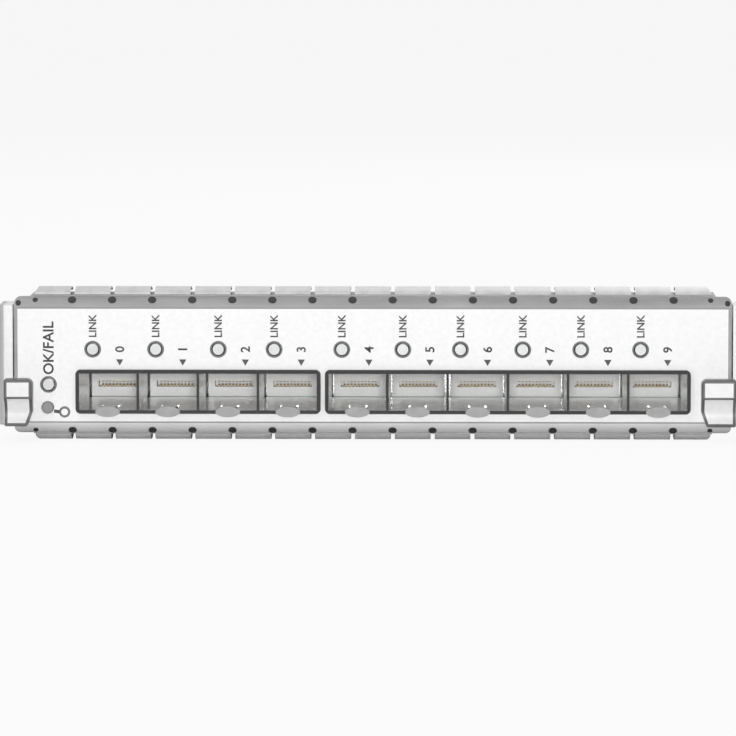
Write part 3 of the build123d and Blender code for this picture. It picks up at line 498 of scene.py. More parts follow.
def tab_outline(finish, inner, outer, side_test):
    """One where a point of a tab's front lies in the painted shade along its edges or its crease,
    else zero.
    """
    axes = place_axes(finish)
    reach = do_math("ABSOLUTE", axes[0], 0)
    taper = do_math("MULTIPLY", do_math("SUBTRACT", TAPER_TOP, axes[2]), TAPER_SHARE)
    side = do_math("ADD", inner, do_math("MAXIMUM", taper, 0.0))
    gap = do_math("SUBTRACT", reach, side)
    for edge_gap in (
        do_math("SUBTRACT", outer, reach), do_math("SUBTRACT", axes[2], TAB_LOW),
        do_math("SUBTRACT", TAB_HIGH, axes[2]),
    ):
        gap = do_math("MINIMUM", gap, edge_gap)
    edge = do_math("LESS_THAN", gap, EDGE_WIDTH)
    crease = do_math("LESS_THAN", distance(axes[2], CREASE_Z), CREASE_HALF)
    mark = do_math("MAXIMUM", edge, crease)
    ahead = do_math("LESS_THAN", axes[1], FACE - 1.2 * MM)
    here = do_math(side_test, axes[0], 0)
    return do_math("MULTIPLY", do_math("MULTIPLY", mark, ahead), here)


# Painted shade: dark grey bands along the edges and the crease of each tab.
left_edge_shade = tab_outline(lever_paint, 80.5 * MM, 87.1 * MM, "LESS_THAN")
right_edge_shade = tab_outline(lever_paint, 77.8 * MM, 85.9 * MM, "GREATER_THAN")
edge_shade = do_math("MAXIMUM", left_edge_shade, right_edge_shade)
reach = do_math("ABSOLUTE", place_axes(lever_paint)[0], 0)
# Painted shade: the rounded outer flank of each lever is painted darker.
corner_shade = do_math("GREATER_THAN", reach, 87.5 * MM)
wear_and_corner_shade = do_math("MULTIPLY", corner_shade, 0.8)
coat = blend_colors(wear_and_corner_shade, coat, 0.4)
lead(lever_paint, blend_colors(edge_shade, coat, (0.1, 0.1, 0.103)), "Base Color")
give(lever_paint, "ejector_left", "ejector_right")

# %% [markdown]
# ## Board finish
# The board is green solder mask over copper, and its cut edges show the bare laminate.
# Traces run in bundles that change direction from area to area. A Voronoi texture gives the
# areas, and each area picks lines along X or along Y from two wave textures.

# %% Board finish
board_laminate = new_finish("board_laminate", (0.02, 0.12, 0.06), 0.35)
tree = board_laminate.node_tree
place = add_node(tree, "ShaderNodeTexCoord").outputs["Object"]
areas = add_node(tree, "ShaderNodeTexVoronoi", {"Vector": place, "Scale": 85})
area_split = add_node(tree, "ShaderNodeSeparateColor", {0: areas.outputs["Color"]}).outputs
across, along = (
    add_node(
        tree, "ShaderNodeTexWave", {"Vector": place, "Scale": 330}, bands_direction=direction
    ).outputs["Fac"] for direction in ("X", "Y")
)
pick = do_math("GREATER_THAN", area_split[0], 0.5)
bundle = add_node(tree, "ShaderNodeMix", {0: pick, 2: across, 3: along})
traced = do_math("GREATER_THAN", area_split[1], 0.35)
copper = do_math("MULTIPLY", bundle.outputs[0], traced)
mask_color = tone(copper, (0.012, 0.085, 0.045), (0.03, 0.2, 0.095), 0.45, 0.6)
normal = add_node(tree, "ShaderNodeNewGeometry").outputs["Normal"]
normal = add_node(tree, "ShaderNodeSeparateXYZ", {0: normal}).outputs
upright = do_math("LESS_THAN", do_math("ABSOLUTE", normal[2], 0), 0.5)
lead(board_laminate, blend_colors(upright, mask_color, (0.36, 0.33, 0.17)), "Base Color")
set_bump(board_laminate, copper, 0.02 * MM, 0.5)
give(board_laminate, "main_board")

# %% [markdown]
# ## Chip and power part finishes
# Each large chip is a dark green substrate with a metal lid, so its colour changes with
# height. The power module is potted and matt. The inductors are pressed iron powder, which
# is speckled.

# %% Chip finishes
chip_plastic = new_finish("chip_plastic", (0.04, 0.04, 0.045), 0.45)
axes = place_axes(chip_plastic)
lid = do_math("GREATER_THAN", axes[2], BOARD_TOP + 1.1 * MM)
dust = grain(chip_plastic, 1500, detail=3.0)
substrate = tone(dust, (0.02, 0.06, 0.04), (0.03, 0.09, 0.05))
cover = tone(dust, (0.4, 0.4, 0.41), (0.5, 0.5, 0.51))
lead(chip_plastic, blend_colors(lid, substrate, cover), "Base Color")
lead(chip_plastic, do_math("MULTIPLY", lid, 0.8), "Metallic")
set_bump(chip_plastic, dust, 0.004 * MM, 0.3)
module_plastic = new_plastic(
    "module_plastic", (0.02, 0.02, 0.022), (0.045, 0.045, 0.05), 1400, (0.5, 0.7)
)
inductor_core = new_plastic(
    "inductor_core", (0.06, 0.06, 0.065), (0.16, 0.16, 0.165), 3800, (0.5, 0.75), 0.02 * MM
)
capacitor_can = new_metal(
    "capacitor_can", (0.46, 0.46, 0.47), (0.54, 0.54, 0.55), 900, (1, 1, 0.05), (0.2, 0.32), 1.0
)
give(chip_plastic, "phy_chip_left", "phy_chip_right", "framer_chip")
give(module_plastic, "power_module")
give(inductor_core, "power_inductors")
give(capacitor_can, "power_capacitors")
print("finishes in the file", len(bpy.data.materials))

# %% [markdown]
# ## Helpers for Geometry Nodes
# Whatever repeats is made by a small Geometry Nodes tree with named sizes. A modifier takes
# its sizes by the identifier of each input. The result is then turned into a plain mesh and
# the modifier goes, because instances don't survive an export.

# %% Helpers for Geometry Nodes
MERGE_REACH = 0.002 * MM


def new_tree(name, sizes):
    """A tree with a geometry input and output and one number input for each size."""
    tree = bpy.data.node_groups.new(name, "GeometryNodeTree")
    tree.interface.new_socket("Geometry", in_out="INPUT", socket_type="NodeSocketGeometry")
    for label, value in sizes.items():
        kind = "NodeSocketInt" if isinstance(value, int) else "NodeSocketFloat"
        socket = tree.interface.new_socket(label, in_out="INPUT", socket_type=kind)
        socket.default_value = value
    tree.interface.new_socket("Geometry", in_out="OUTPUT", socket_type="NodeSocketGeometry")
    return tree, tree.nodes.new("NodeGroupInput").outputs


def point_axes(tree):
    """The x, y and z of each point, as three sockets."""
    place = add_node(tree, "GeometryNodeInputPosition")
    return add_node(tree, "ShaderNodeSeparateXYZ", {0: place.outputs[0]}).outputs


def vector(tree, x=0, y=0, z=0):
    """Three sockets or plain numbers as one vector."""
    return add_node(tree, "ShaderNodeCombineXYZ", {0: x, 1: y, 2: z}).outputs[0]


def moved(tree, geometry, offset):
    """The geometry, moved by a vector."""
    inputs = {0: geometry, "Translation": offset}
    return add_node(tree, "GeometryNodeTransform", inputs).outputs[0]


def joined(tree, *parts):
    """Several geometries as one."""
    join = add_node(tree, "GeometryNodeJoinGeometry")
    for part in parts:
        tree.links.new(part, join.inputs[0])
    return join.outputs[0]


def box_of(tree, x, y, z, **more):
    """A box with its middle at the origin."""
    inputs = {"Size": vector(tree, x, y, z)}
    inputs.update({name.replace("_", " "): value for name, value in more.items()})
    return add_node(tree, "GeometryNodeMeshCube", inputs).outputs[0]


def copied(tree, points, shape, **more):
    """Copies of a shape on points."""
    inputs = {"Points": points, "Instance": shape, **more}
    return add_node(tree, "GeometryNodeInstanceOnPoints", inputs).outputs[0]


def row_of(tree, shape, count, pitch):
    """Copies of a shape in a row along X, and the distance from the first to the last."""
    line = {"Count": count, "Offset": vector(tree, pitch)}
    line = add_node(tree, "GeometryNodeMeshLine", line).outputs[0]
    reach = do_math("MULTIPLY", do_math("SUBTRACT", count, 1), pitch)
    return copied(tree, line, shape), reach


def thickened(tree, sheet, offset):
    """A closed plate from a flat sheet: its raised copy, its sides and its underside."""
    raised = add_node(tree, "GeometryNodeExtrudeMesh", {
        "Mesh": sheet, "Offset Scale": offset, "Individual": False,
    }, mode="FACES").outputs[0]
    under = add_node(tree, "GeometryNodeFlipFaces", {0: sheet}).outputs[0]
    inputs = {0: joined(tree, raised, under), "Distance": MERGE_REACH}
    return add_node(tree, "GeometryNodeMergeByDistance", inputs).outputs[0]


def end_tree(tree, geometry, finish):
    """Make instances real, set the finish and lead the result out."""
    real = add_node(tree, "GeometryNodeRealizeInstances", {0: geometry}).outputs[0]
    dressed = add_node(tree, "GeometryNodeSetMaterial", {0: real, "Material": finish})
    tree.links.new(dressed.outputs[0], tree.nodes.new("NodeGroupOutput").inputs[0])


def run_tree(name, mesh, tree, sizes, body="card"):
    """Run a tree on a mesh with its sizes, keep the plain result and let it ride."""
    piece = add_object(name, mesh)
    modifier = piece.modifiers.new("make", "NODES")
    modifier.node_group = tree
    for item in tree.interface.items_tree:
        if item.in_out == "INPUT" and item.name in sizes:
            modifier[item.identifier] = sizes[item.name]
    made = current_mesh(piece)
    piece.modifiers.clear()
    work = bmesh.new()
    work.from_mesh(made)
    piece.data = end_work(work, made)
    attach(piece, body)
    made.calc_loop_triangles()
    print(name, len(made.loop_triangles), "triangles")
    return piece


def point_mesh(name, points, turns=None):
    """A mesh of loose points that a tree puts copies on, with an angle for each point."""
    mesh = bpy.data.meshes.new(name)
    mesh.from_pydata([tuple(p) for p in points], [], [])
    if turns:
        angles = mesh.attributes.new("turn", "FLOAT", "POINT")
        for item, angle in zip(angles.data, turns):
            item.value = angle
    return mesh


def end_work(work, mesh, outward=True):
    """Write a bmesh into a mesh, with its faces turned outwards."""
    if outward:
        bmesh.ops.recalc_face_normals(work, faces=work.faces)
    work.to_mesh(mesh)
    work.free()
    return mesh


def current_mesh(item):
    """A plain copy of an object's mesh as it is now shown."""
    bpy.context.view_layer.update()
    shown = item.evaluated_get(bpy.context.evaluated_depsgraph_get())
    return bpy.data.meshes.new_from_object(shown)


def add_block(x, y, z, place=Matrix()):
    """A bmesh with one box of these sizes, moved by a matrix."""
    work = bmesh.new()
    bmesh.ops.create_cube(work, size=1)
    work.transform(place @ Matrix.Diagonal((x, y, z, 1)))
    return work


def thicken(work, height):
    """Raise a copy of all faces and close the sides."""
    for item in bmesh.ops.extrude_face_region(work, geom=work.faces[:])["geom"]:
        if isinstance(item, bmesh.types.BMVert):
            item.co.z += height


def keep_mesh(name, work, finish, body="card"):
    """Turn a bmesh into a piece with one finish that rides on a body."""
    mesh = end_work(work, bpy.data.meshes.new(name))
    mesh.materials.append(finish)
    piece = add_object(name, mesh)
    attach(piece, body)
    return piece


# %% [markdown]
# ## Spring fingers
# A shielding strip of sprung beryllium copper is clipped on each flange. It is one folded
# leaf: a flat rail under a row of arched fingers that press on the card above and below. A
# grid bent by a sine makes one arch, and a tree copies it at the pitch of the fingers and
# trims both ends at a slant. The rail is painted dark as painted shade under the arches and
# in the slots, and the lower strip is painted brighter than the upper one, as painted light
# for the strip that faces down.

# %% Finger tree
finger_metal = new_finish("finger_metal", 0.58, 0.35, 0.6)
worn = grain(finger_metal, 500, (1, 0.25, 1), detail=5.0)
set_roughness(finger_metal, worn, 0.35, 0.5)
set_bump(finger_metal, worn, 0.004 * MM, 0.3)
RAIL_TOP = 0.32 * MM
rise_axis = place_axes(finger_metal)[2]
# Painted light: the lower strip, which faces down, is painted brighter than the upper one.
below = do_math("LESS_THAN", rise_axis, PLATE_MIDDLE)
from_middle = distance(rise_axis, PLATE_MIDDLE)
# Painted shade: the rail under the arches and slots is painted near black.
rail_shade = do_math("LESS_THAN", from_middle, (plate_high.z - plate_low.z) / 2 + RAIL_TOP
)
sprung = tone(worn, 0.46, 0.56)
sprung = blend_colors(below, sprung, 0.76)
lead(finger_metal, blend_colors(rail_shade, sprung, 0.16), "Base Color")
finger_sizes = {
    "Count": 17, "Pitch": 9.5 * MM, "Slot": 1.0 * MM, "Depth": 9.0 * MM,
    "Rise": 2.0 * MM, "Sheet": 0.3 * MM, "Slant": 1.2 * MM,
}
tree, into = new_tree("finger strip", finger_sizes)
width = do_math("SUBTRACT", into["Pitch"], into["Slot"])
leaf = add_node(tree, "GeometryNodeMeshGrid", {
    "Size X": width, "Size Y": into["Depth"], "Vertices X": 7, "Vertices Y": 25,
}).outputs[0]
along = do_math("ADD", do_math("DIVIDE", point_axes(tree)[1], into["Depth"]), 0.5)
wave = do_math("SINE", do_math("MULTIPLY", along, math.pi * 0.93))
arch = do_math("POWER", do_math("MAXIMUM", wave, 0.0), 0.7)
crest = do_math("SUBTRACT", into["Rise"], do_math("MULTIPLY", into["Sheet"], 1.5))
height = do_math("MULTIPLY_ADD", arch, crest, into["Sheet"])
bent = add_node(tree, "GeometryNodeSetPosition", {0: leaf, "Offset": vector(tree, z=height)})
half_sheet = do_math("MULTIPLY", into["Sheet"], 0.5)
finger = thickened(tree, bent.outputs[0], half_sheet)
copies, reach = row_of(tree, finger, into["Count"], into["Pitch"])
centred = moved(tree, copies, vector(tree, do_math("MULTIPLY", reach, -0.5)))
real = add_node(tree, "GeometryNodeRealizeInstances", {0: centred}).outputs[0]
length = do_math("MULTIPLY", into["Count"], into["Pitch"])
rail_length = do_math("SUBTRACT", length, 0.001 * MM)
rail = box_of(tree, rail_length, into["Depth"], into["Sheet"], Vertices_X=3)
strip = joined(tree, real, moved(tree, rail, vector(tree, z=half_sheet)))
place = point_axes(tree)
inset = do_math("MULTIPLY", do_math("DIVIDE", place[2], into["Rise"]), into["Slant"])
limit = do_math("SUBTRACT", do_math("MULTIPLY", length, 0.5), inset)
held = do_math("MINIMUM", place[0], limit)
held = do_math("MAXIMUM", held, do_math("MULTIPLY", limit, -1.0))
trimmed = add_node(tree, "GeometryNodeSetPosition", {
    0: strip, "Position": vector(tree, held, place[1], place[2]),
})
end_tree(tree, trimmed.outputs[0], finger_metal)

# %% Finger strips
for node_name, side in (("gasket_top", 1), ("gasket_bottom", -1)):
    low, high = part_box(node_name)
    strip = run_tree(f"fingers_{node_name[7:]}", point_mesh(node_name, []), tree, finger_sizes)
    base = low.z if side > 0 else high.z
    place = Matrix.Translation((0, (low.y + high.y) / 2, base))
    if side < 0:
        place = place @ Matrix.Rotation(math.pi, 4, "Y")
    strip.data.transform(place)
    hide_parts(node_name)

# %% [markdown]
# ## Printed marks
# The plate carries only plain marks: a number and a small pointer for each port, the word
# for its light, rings round the lights, and the two states of the status light. They are
# screen printed, so each is a film a few hundredths of a millimetre thick on the coat. The
# words read upwards. Rings and pointers repeat, so trees copy them onto the ports.

# %% Ink and rings
print_ink = new_finish("print_ink", (0.04, 0.04, 0.042), 0.55)
dry = grain(print_ink, 2500)
lead(print_ink, tone(dry, (0.03, 0.03, 0.032), (0.07, 0.07, 0.073)), "Base Color")
ring_ink = new_finish("ring_ink", 0.18, 0.55)
dry = grain(ring_ink, 2500)
lead(ring_ink, tone(dry, 0.15, 0.21), "Base Color")
FILM = 0.04 * MM
ring_sizes = {"Outer": 4.0 * MM, "Inner": 3.1 * MM, "Film": FILM}
tree, into = new_tree("printed ring", ring_sizes)
inner = do_math("MULTIPLY", into["Inner"], 0.5)
wide = do_math("SUBTRACT", do_math("MULTIPLY", into["Outer"], 0.5), inner)
hoop = add_node(tree, "GeometryNodeMeshCircle", {"Vertices": 40, "Radius": inner})
position = add_node(tree, "GeometryNodeInputPosition").outputs[0]
ray_out = add_node(tree, "ShaderNodeVectorMath", {0: position}, operation="NORMALIZE")
flat = add_node(tree, "GeometryNodeExtrudeMesh", {
    "Mesh": hoop.outputs[0], "Offset": ray_out.outputs[0], "Offset Scale": wide,
}, mode="EDGES").outputs[0]
upright = add_node(tree, "GeometryNodeTransform", {
    0: thickened(tree, flat, into["Film"]), "Rotation": (math.pi / 2, 0, 0),
}).outputs[0]
end_tree(tree, copied(tree, into[0], upright), ring_ink)
ring_spots = [p + Vector((0, 0.01 * MM, 0)) for p in LIGHTS + [STATUS]]
run_tree("light_rings", point_mesh("ring_spots", ring_spots), tree, ring_sizes)
SYMBOL = BUTTON + Vector((4.0 * MM, 0.01 * MM, -1.06 * MM))
symbol_sizes = {"Outer": 2.7 * MM, "Inner": 1.6 * MM, "Film": FILM}
run_tree("button_symbol", point_mesh("symbol_spot", [SYMBOL]), tree, symbol_sizes)

# %% Words and numbers
READ_UP = Matrix(((0, -1, 0, 0), (0, 0, -1, 0), (1, 0, 0, 0), (0, 0, 0, 1)))


def word_mesh(text, length=None, tall=None):
    """A word as a thin plate in the XY plane, with its middle at the origin."""
    curve = bpy.data.curves.new(text, "FONT")
    curve.body = text
    curve.resolution_u = 3
    curve.offset = 0.018
    carrier = add_object("word", curve)
    mesh = current_mesh(carrier)
    bpy.data.objects.remove(carrier)
    work = bmesh.new()
    work.from_mesh(mesh)
    bmesh.ops.remove_doubles(work, verts=work.verts, dist=0.0005)
    low = [min(v.co[k] for v in work.verts) for k in (0, 1)]
    high = [max(v.co[k] for v in work.verts) for k in (0, 1)]
    size = length / (high[0] - low[0]) if length else tall / (high[1] - low[1])
    for vert in work.verts:
        vert.co.x = (vert.co.x - (low[0] + high[0]) / 2) * size
        vert.co.y = (vert.co.y - (low[1] + high[1]) / 2) * size
    thicken(work, FILM)
    return end_work(work, mesh)


def print_words(name, words):
    """All words of one kind on the plate as one piece; each has its mesh and its place."""
    work = bmesh.new()
    for mesh, spot in words:
        mesh.transform(Matrix.Translation(spot + Vector((0, 0.01 * MM, 0))) @ READ_UP)
        work.from_mesh(mesh)
        bpy.data.meshes.remove(mesh)
    print(name, len(work.faces), "faces")
    return keep_mesh(name, work, print_ink)


NUMBER_SHIFT = Vector((6.42 * MM, 0, 0))
print_words("port_numbers", [
    (word_mesh(str(k), tall=2.2 * MM), p + NUMBER_SHIFT) for k, p in enumerate(LIGHTS)
])
WORD_SHIFT = Vector((0, 0, 5.6 * MM))
print_words("link_words", [(word_mesh("LINK", length=5.4 * MM), p + WORD_SHIFT) for p in LIGHTS])
status_word = (word_mesh("OK/FAIL", length=12.6 * MM), STATUS + Vector((0, 0, 8.7 * MM)))
print_words("status_words", [status_word])

# %% Pointers under the numbers and the tail of the symbol
pointer_sizes = {"Reach": 1.0 * MM, "Film": FILM}
tree, into = new_tree("pointer", pointer_sizes)
wedge = add_node(tree, "GeometryNodeMeshCylinder", {
    "Vertices": 3, "Radius": into["Reach"], "Depth": into["Film"],
})
upright = add_node(tree, "GeometryNodeTransform", {
    0: wedge.outputs[0], "Rotation": (math.pi / 2, math.pi / 2, 0),
}).outputs[0]
end_tree(tree, copied(tree, into[0], upright), print_ink)
pointer_spots = [p + NUMBER_SHIFT + Vector((0, -FILM / 4, -2.9 * MM)) for p in LIGHTS]
run_tree("port_pointers", point_mesh("pointer_spots", pointer_spots), tree, pointer_sizes)
tail_place = Matrix.Translation(SYMBOL + Vector((-1.85 * MM, -FILM / 2, 0.12 * MM)))
tail_place = tail_place @ Matrix.Rotation(math.radians(8), 4, "Y")
work = add_block(1.3 * MM, FILM, 0.8 * MM, tail_place)
bmesh.ops.bevel(work, geom=work.edges[:], offset=0.01 * MM, segments=1, affect="EDGES")
keep_mesh("symbol_tail", work, print_ink)

# %% [markdown]
# ## Contacts
# Inside each port a card edge meets two rows of sprung gold contacts, and the connectors at
# the rear have a contact in every pocket. A contact is a thin strip bowed towards its mate.
# The tree bends a flat bar with a sine and copies it onto points.

# %% Contact tree
contact_gold = new_metal(
    "contact_gold", (0.5, 0.4, 0.2), (0.66, 0.54, 0.3), 1500, (1, 0.2, 1), (0.35, 0.5), 0.8
)
contact_sizes = {"Width": 0.4 * MM, "Length": 3.4 * MM, "Sheet": 0.16 * MM, "Bow": 0.3 * MM}
tree, into = new_tree("bowed contact", contact_sizes)
bar = box_of(tree, into["Width"], into["Length"], into["Sheet"], Vertices_Y=7)
along = do_math("DIVIDE", point_axes(tree)[1], into["Length"])
half_turn = do_math("MULTIPLY", do_math("ADD", along, 0.5), math.pi)
rise = do_math("MULTIPLY", do_math("SINE", half_turn), into["Bow"])
bowed = add_node(tree, "GeometryNodeSetPosition", {0: bar, "Offset": vector(tree, z=rise)})
end_tree(tree, copied(tree, into[0], bowed.outputs[0]), contact_gold)

# %% Contacts of the ports
SLOT_MIDDLE = BOARD_TOP + 3.3 * MM
SLOT_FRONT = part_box("port_connector_0")[0].y
for name, side in (("contacts_lower", -1), ("contacts_upper", 1)):
    spots = [
        (x + (k - 4.5) * 0.85 * MM, SLOT_FRONT + 3.2 * MM, SLOT_MIDDLE + side * 0.62 * MM)
        for x in PORTS for k in range(10)
    ]
    sizes = dict(contact_sizes, Bow=-side * 0.3 * MM)
    run_tree(name, point_mesh(name, spots), tree, sizes)

# %% Contacts of the rear connectors
for side in ("left", "right"):
    low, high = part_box(f"backplane_connector_{side}")
    middle = (low + high) / 2
    spots = [
        (middle.x + (k - 7.5) * 2.8 * MM, high.y - 1.75 * MM, middle.z + (row - 1.5) * 2.8 * MM)
        for k in range(16) for row in range(4)
    ]
    sizes = {"Width": 0.6 * MM, "Length": 2.4 * MM, "Sheet": 0.2 * MM, "Bow": 0.2 * MM}
    run_tree(f"rear_contacts_{side}", point_mesh("rear spots", spots), tree, sizes)

# %% [markdown]
# ## Small parts on the board
# A real board is crowded with resistors and ceramic capacitors about a millimetre long,
# between the larger chips. Their places are drawn on a grid in the free areas of the board
# with a fixed seed, and a tree puts a body and two soldered ends on every place. The angle
# of each part travels with its point as an attribute.

# %% Free areas and places
solder = new_metal("solder", 0.5, 0.7, 3000, (1, 1, 1), (0.25, 0.4), 1.0)
AREAS = [
    (-69, -24, 69, -19), (-9, -16, 9, 16), (-76, -15, -63, 28), (63, -15, 76, 22),
    (-62, 19, 2, 29), (5, 18.5, 50, 21.5), (-64, 56.5, -3, 62.5), (3, 60.5, 64, 63),
    (51.5, 24, 56, 58), (66, 24, 76, 51), (-76, 30, -70, 51), (-16, 24, -13.5, 55),
]
CHIPS = [
    (-69.5, 0, 6, 6, 0.9), (69.5, 4, 5, 7, 1.5), (0, 7, 8, 8, 1.0), (0, -8, 5, 5, 0.9),
    (-50, 24.2, 7, 5, 1.5), (-36, 24.2, 5, 7, 1.5), (-22, 24.2, 5, 5, 0.9), (71, 38, 5, 7, 1.5),
    (-45, 59.4, 7, 4, 1.4), (-73, 22, 4, 6, 1.2), (35, -21.6, 4, 3, 1.0), (-30, -21.6, 4, 3, 1.0),
]
SCREWS = [(x, y) for x in (-73, 0, 73) for y in (-21, 56)]
GRID_X, GRID_Y = 2.2, 1.9
dice = random.Random(7)


def is_free(x, y):
    """Whether a small part at this place keeps clear of the chips and the screws."""
    for cx, cy, wide, deep, tall in CHIPS:
        if abs(x - cx) < wide / 2 + 1.7 and abs(y - cy) < deep / 2 + 1.7:
            return False
    return all(math.hypot(x - sx, y - sy) > 4.2 for sx, sy in SCREWS)


spots = {"resistors": [], "capacitors": []}
for x0, y0, x1, y1 in AREAS:
    for column in range(int((x1 - x0) / GRID_X)):
        for line in range(int((y1 - y0) / GRID_Y)):
            x, y = x0 + GRID_X / 2 + column * GRID_X, y0 + GRID_Y / 2 + line * GRID_Y
            if dice.random() < 0.42 and is_free(x, y):
                kind = "resistors" if dice.random() < 0.45 else "capacitors"
                turn = dice.choice((0, 0, math.pi / 2))
                spots[kind].append((Vector((x * MM, y * MM, BOARD_TOP)), turn))
print({kind: len(found) for kind, found in spots.items()})

# %% Part tree
part_sizes = {"Length": 1.3 * MM, "Width": 0.7 * MM, "Height": 0.5 * MM, "End": 0.3 * MM}


def turned_copies(tree, points, shape):
    """Copies of a shape on points, each turned by the angle that its point carries."""
    turn = add_node(tree, "GeometryNodeInputNamedAttribute", {"Name": "turn"}, data_type="FLOAT")
    return copied(tree, points, shape, Rotation=vector(tree, z=turn.outputs[0]))


def part_tree(name, ends, finish):
    """A tree for the bodies or for the soldered ends of small parts."""
    tree, into = new_tree(name, part_sizes)
    length, height = into["Length"], into["Height"]
    if ends:
        block = box_of(
            tree, into["End"], do_math("MULTIPLY", into["Width"], 1.04),
            do_math("MULTIPLY", height, 1.04),
        )
        half = do_math("MULTIPLY", do_math("SUBTRACT", length, into["End"]), 0.5)
        lift = do_math("MULTIPLY", height, 0.52)
        shape = joined(tree, *(
            moved(tree, block, vector(tree, do_math("MULTIPLY", half, side), 0, lift))
            for side in (-1, 1)
        ))
    else:
        covered = do_math("MULTIPLY", into["End"], 1.6)
        block = box_of(tree, do_math("SUBTRACT", length, covered), into["Width"], height)
        shape = moved(tree, block, vector(tree, z=do_math("MULTIPLY", height, 0.5)))
    end_tree(tree, turned_copies(tree, into[0], shape), finish)
    return tree


ceramic = new_plastic(
    "ceramic_body", (0.3, 0.2, 0.11), (0.42, 0.29, 0.17), 1800, (0.4, 0.6)
)
resist = new_plastic(
    "resistor_body", (0.015, 0.015, 0.017), (0.03, 0.03, 0.033), 1800, (0.25, 0.4)
)
for kind, finish in (("resistors", resist), ("capacitors", ceramic)):
    places, turns = zip(*spots[kind])
    bodies = part_tree(kind, False, finish)
    run_tree(f"small_{kind}", point_mesh(kind, places, turns), bodies, part_sizes)
places, turns = zip(*(spots["resistors"] + spots["capacitors"]))
ends = part_tree("ends", True, solder)
run_tree("soldered_ends", point_mesh("ends", places, turns), ends, part_sizes)

# %% [markdown]
# ## Small chips
# The controllers and regulators are black moulded packages with bent leads along two
# sides. The bodies differ in size, so they are built one by one with their top edges eased,
# and a tree copies one lead shape along their sides.

# %% Small chip bodies
package_black = new_plastic(
    "package_black", (0.02, 0.02, 0.022), (0.04, 0.04, 0.043), 2200, (0.45, 0.65)
)
work = bmesh.new()
LEAD_PITCH = 0.9
lead_places, lead_turns = [], []
for cx, cy, wide, deep, tall in CHIPS:
    made = bmesh.ops.create_cube(work, size=1)["verts"]
    for vert in made:
        top = vert.co.z > 0
        ease = 0.94 if top else 1.0
        vert.co.x = (cx + vert.co.x * wide * ease) * MM
        vert.co.y = (cy + vert.co.y * deep * ease) * MM
        vert.co.z = BOARD_TOP + (tall if top else 0.08) * MM
    count = int(deep / LEAD_PITCH)
    for k in range(count):
        for side in (-1, 1):
            y = cy + (k - (count - 1) / 2) * LEAD_PITCH
            lead_places.append(Vector(((cx + side * wide / 2) * MM, y * MM, BOARD_TOP)))
            lead_turns.append(0 if side > 0 else math.pi)
for face in list(work.faces):
    if face.normal.z > 0.9:
        bmesh.ops.inset_region(work, faces=[face], thickness=0.18 * MM, depth=0.02 * MM)
keep_mesh("small_chips", work, package_black)

# %% Lead tree
lead_sizes = {"Reach": 0.75 * MM, "Width": 0.36 * MM, "Sheet": 0.12 * MM, "Drop": 0.55 * MM}
tree, into = new_tree("bent lead", lead_sizes)
bar = box_of(tree, into["Reach"], into["Width"], into["Sheet"], Vertices_X=7)
along = add_node(tree, "ShaderNodeMapRange", {
    0: do_math("DIVIDE", point_axes(tree)[0], into["Reach"]), 1: -0.2, 2: 0.25, 3: 1.0, 4: 0.0,
}, interpolation_type="SMOOTHSTEP")
raised = do_math("MULTIPLY_ADD", along.outputs[0], into["Drop"], 0.07 * MM)
shift = vector(tree, do_math("MULTIPLY", into["Reach"], 0.42), 0, raised)
bent = add_node(tree, "GeometryNodeSetPosition", {0: bar, "Offset": shift})
end_tree(tree, turned_copies(tree, into[0], bent.outputs[0]), solder)
run_tree("chip_leads", point_mesh("leads", lead_places, lead_turns), tree, lead_sizes)

# %% [markdown]
# ## Power parts
# An aluminium electrolytic capacitor has a moulded foot, a can with a groove rolled in near
# its foot, and a black mark over one side of its top. Its outline is turned round an axis
# once, and a tree puts copies where the solids stand. The module gets a ribbed cooling
# plate, and each inductor gets its two soldered clips.

# %% Capacitors
def turned(outline, steps=36):
    """A closed shape from radius and height pairs, turned round the Z axis."""
    work = bmesh.new()
    rings = []
    for radius, height in outline:
        if radius == 0:
            rings.append([work.verts.new((0, 0, height))] * steps)
            continue
        rings.append([
            work.verts.new((
                radius * math.cos(2 * math.pi * k / steps),
                radius * math.sin(2 * math.pi * k / steps), height,
            )) for k in range(steps)
        ])
    for low_ring, high_ring in zip(rings, rings[1:]):
        for k in range(steps):
            corners = [low_ring[k], low_ring[k - 1], high_ring[k - 1], high_ring[k]]
            corners = list(dict.fromkeys(corners))
            work.faces.new(corners)
    return end_work(work, bpy.data.meshes.new("turned"))


def put_copies(name, pattern, places, finish):
    """Copies of one pattern mesh on places, as one piece, with a scale input."""
    sizes = {"Scale": 1.0}
    tree, into = new_tree(name, sizes)
    source = add_object(f"{name} pattern", pattern)
    shape = add_node(tree, "GeometryNodeObjectInfo", {"Object": source}).outputs["Geometry"]
    scale = vector(tree, into["Scale"], into["Scale"], into["Scale"])
    end_tree(tree, copied(tree, into[0], shape, Scale=scale), finish)
    piece = run_tree(name, point_mesh(name, places), tree, sizes)
    bpy.data.objects.remove(source)
    return piece


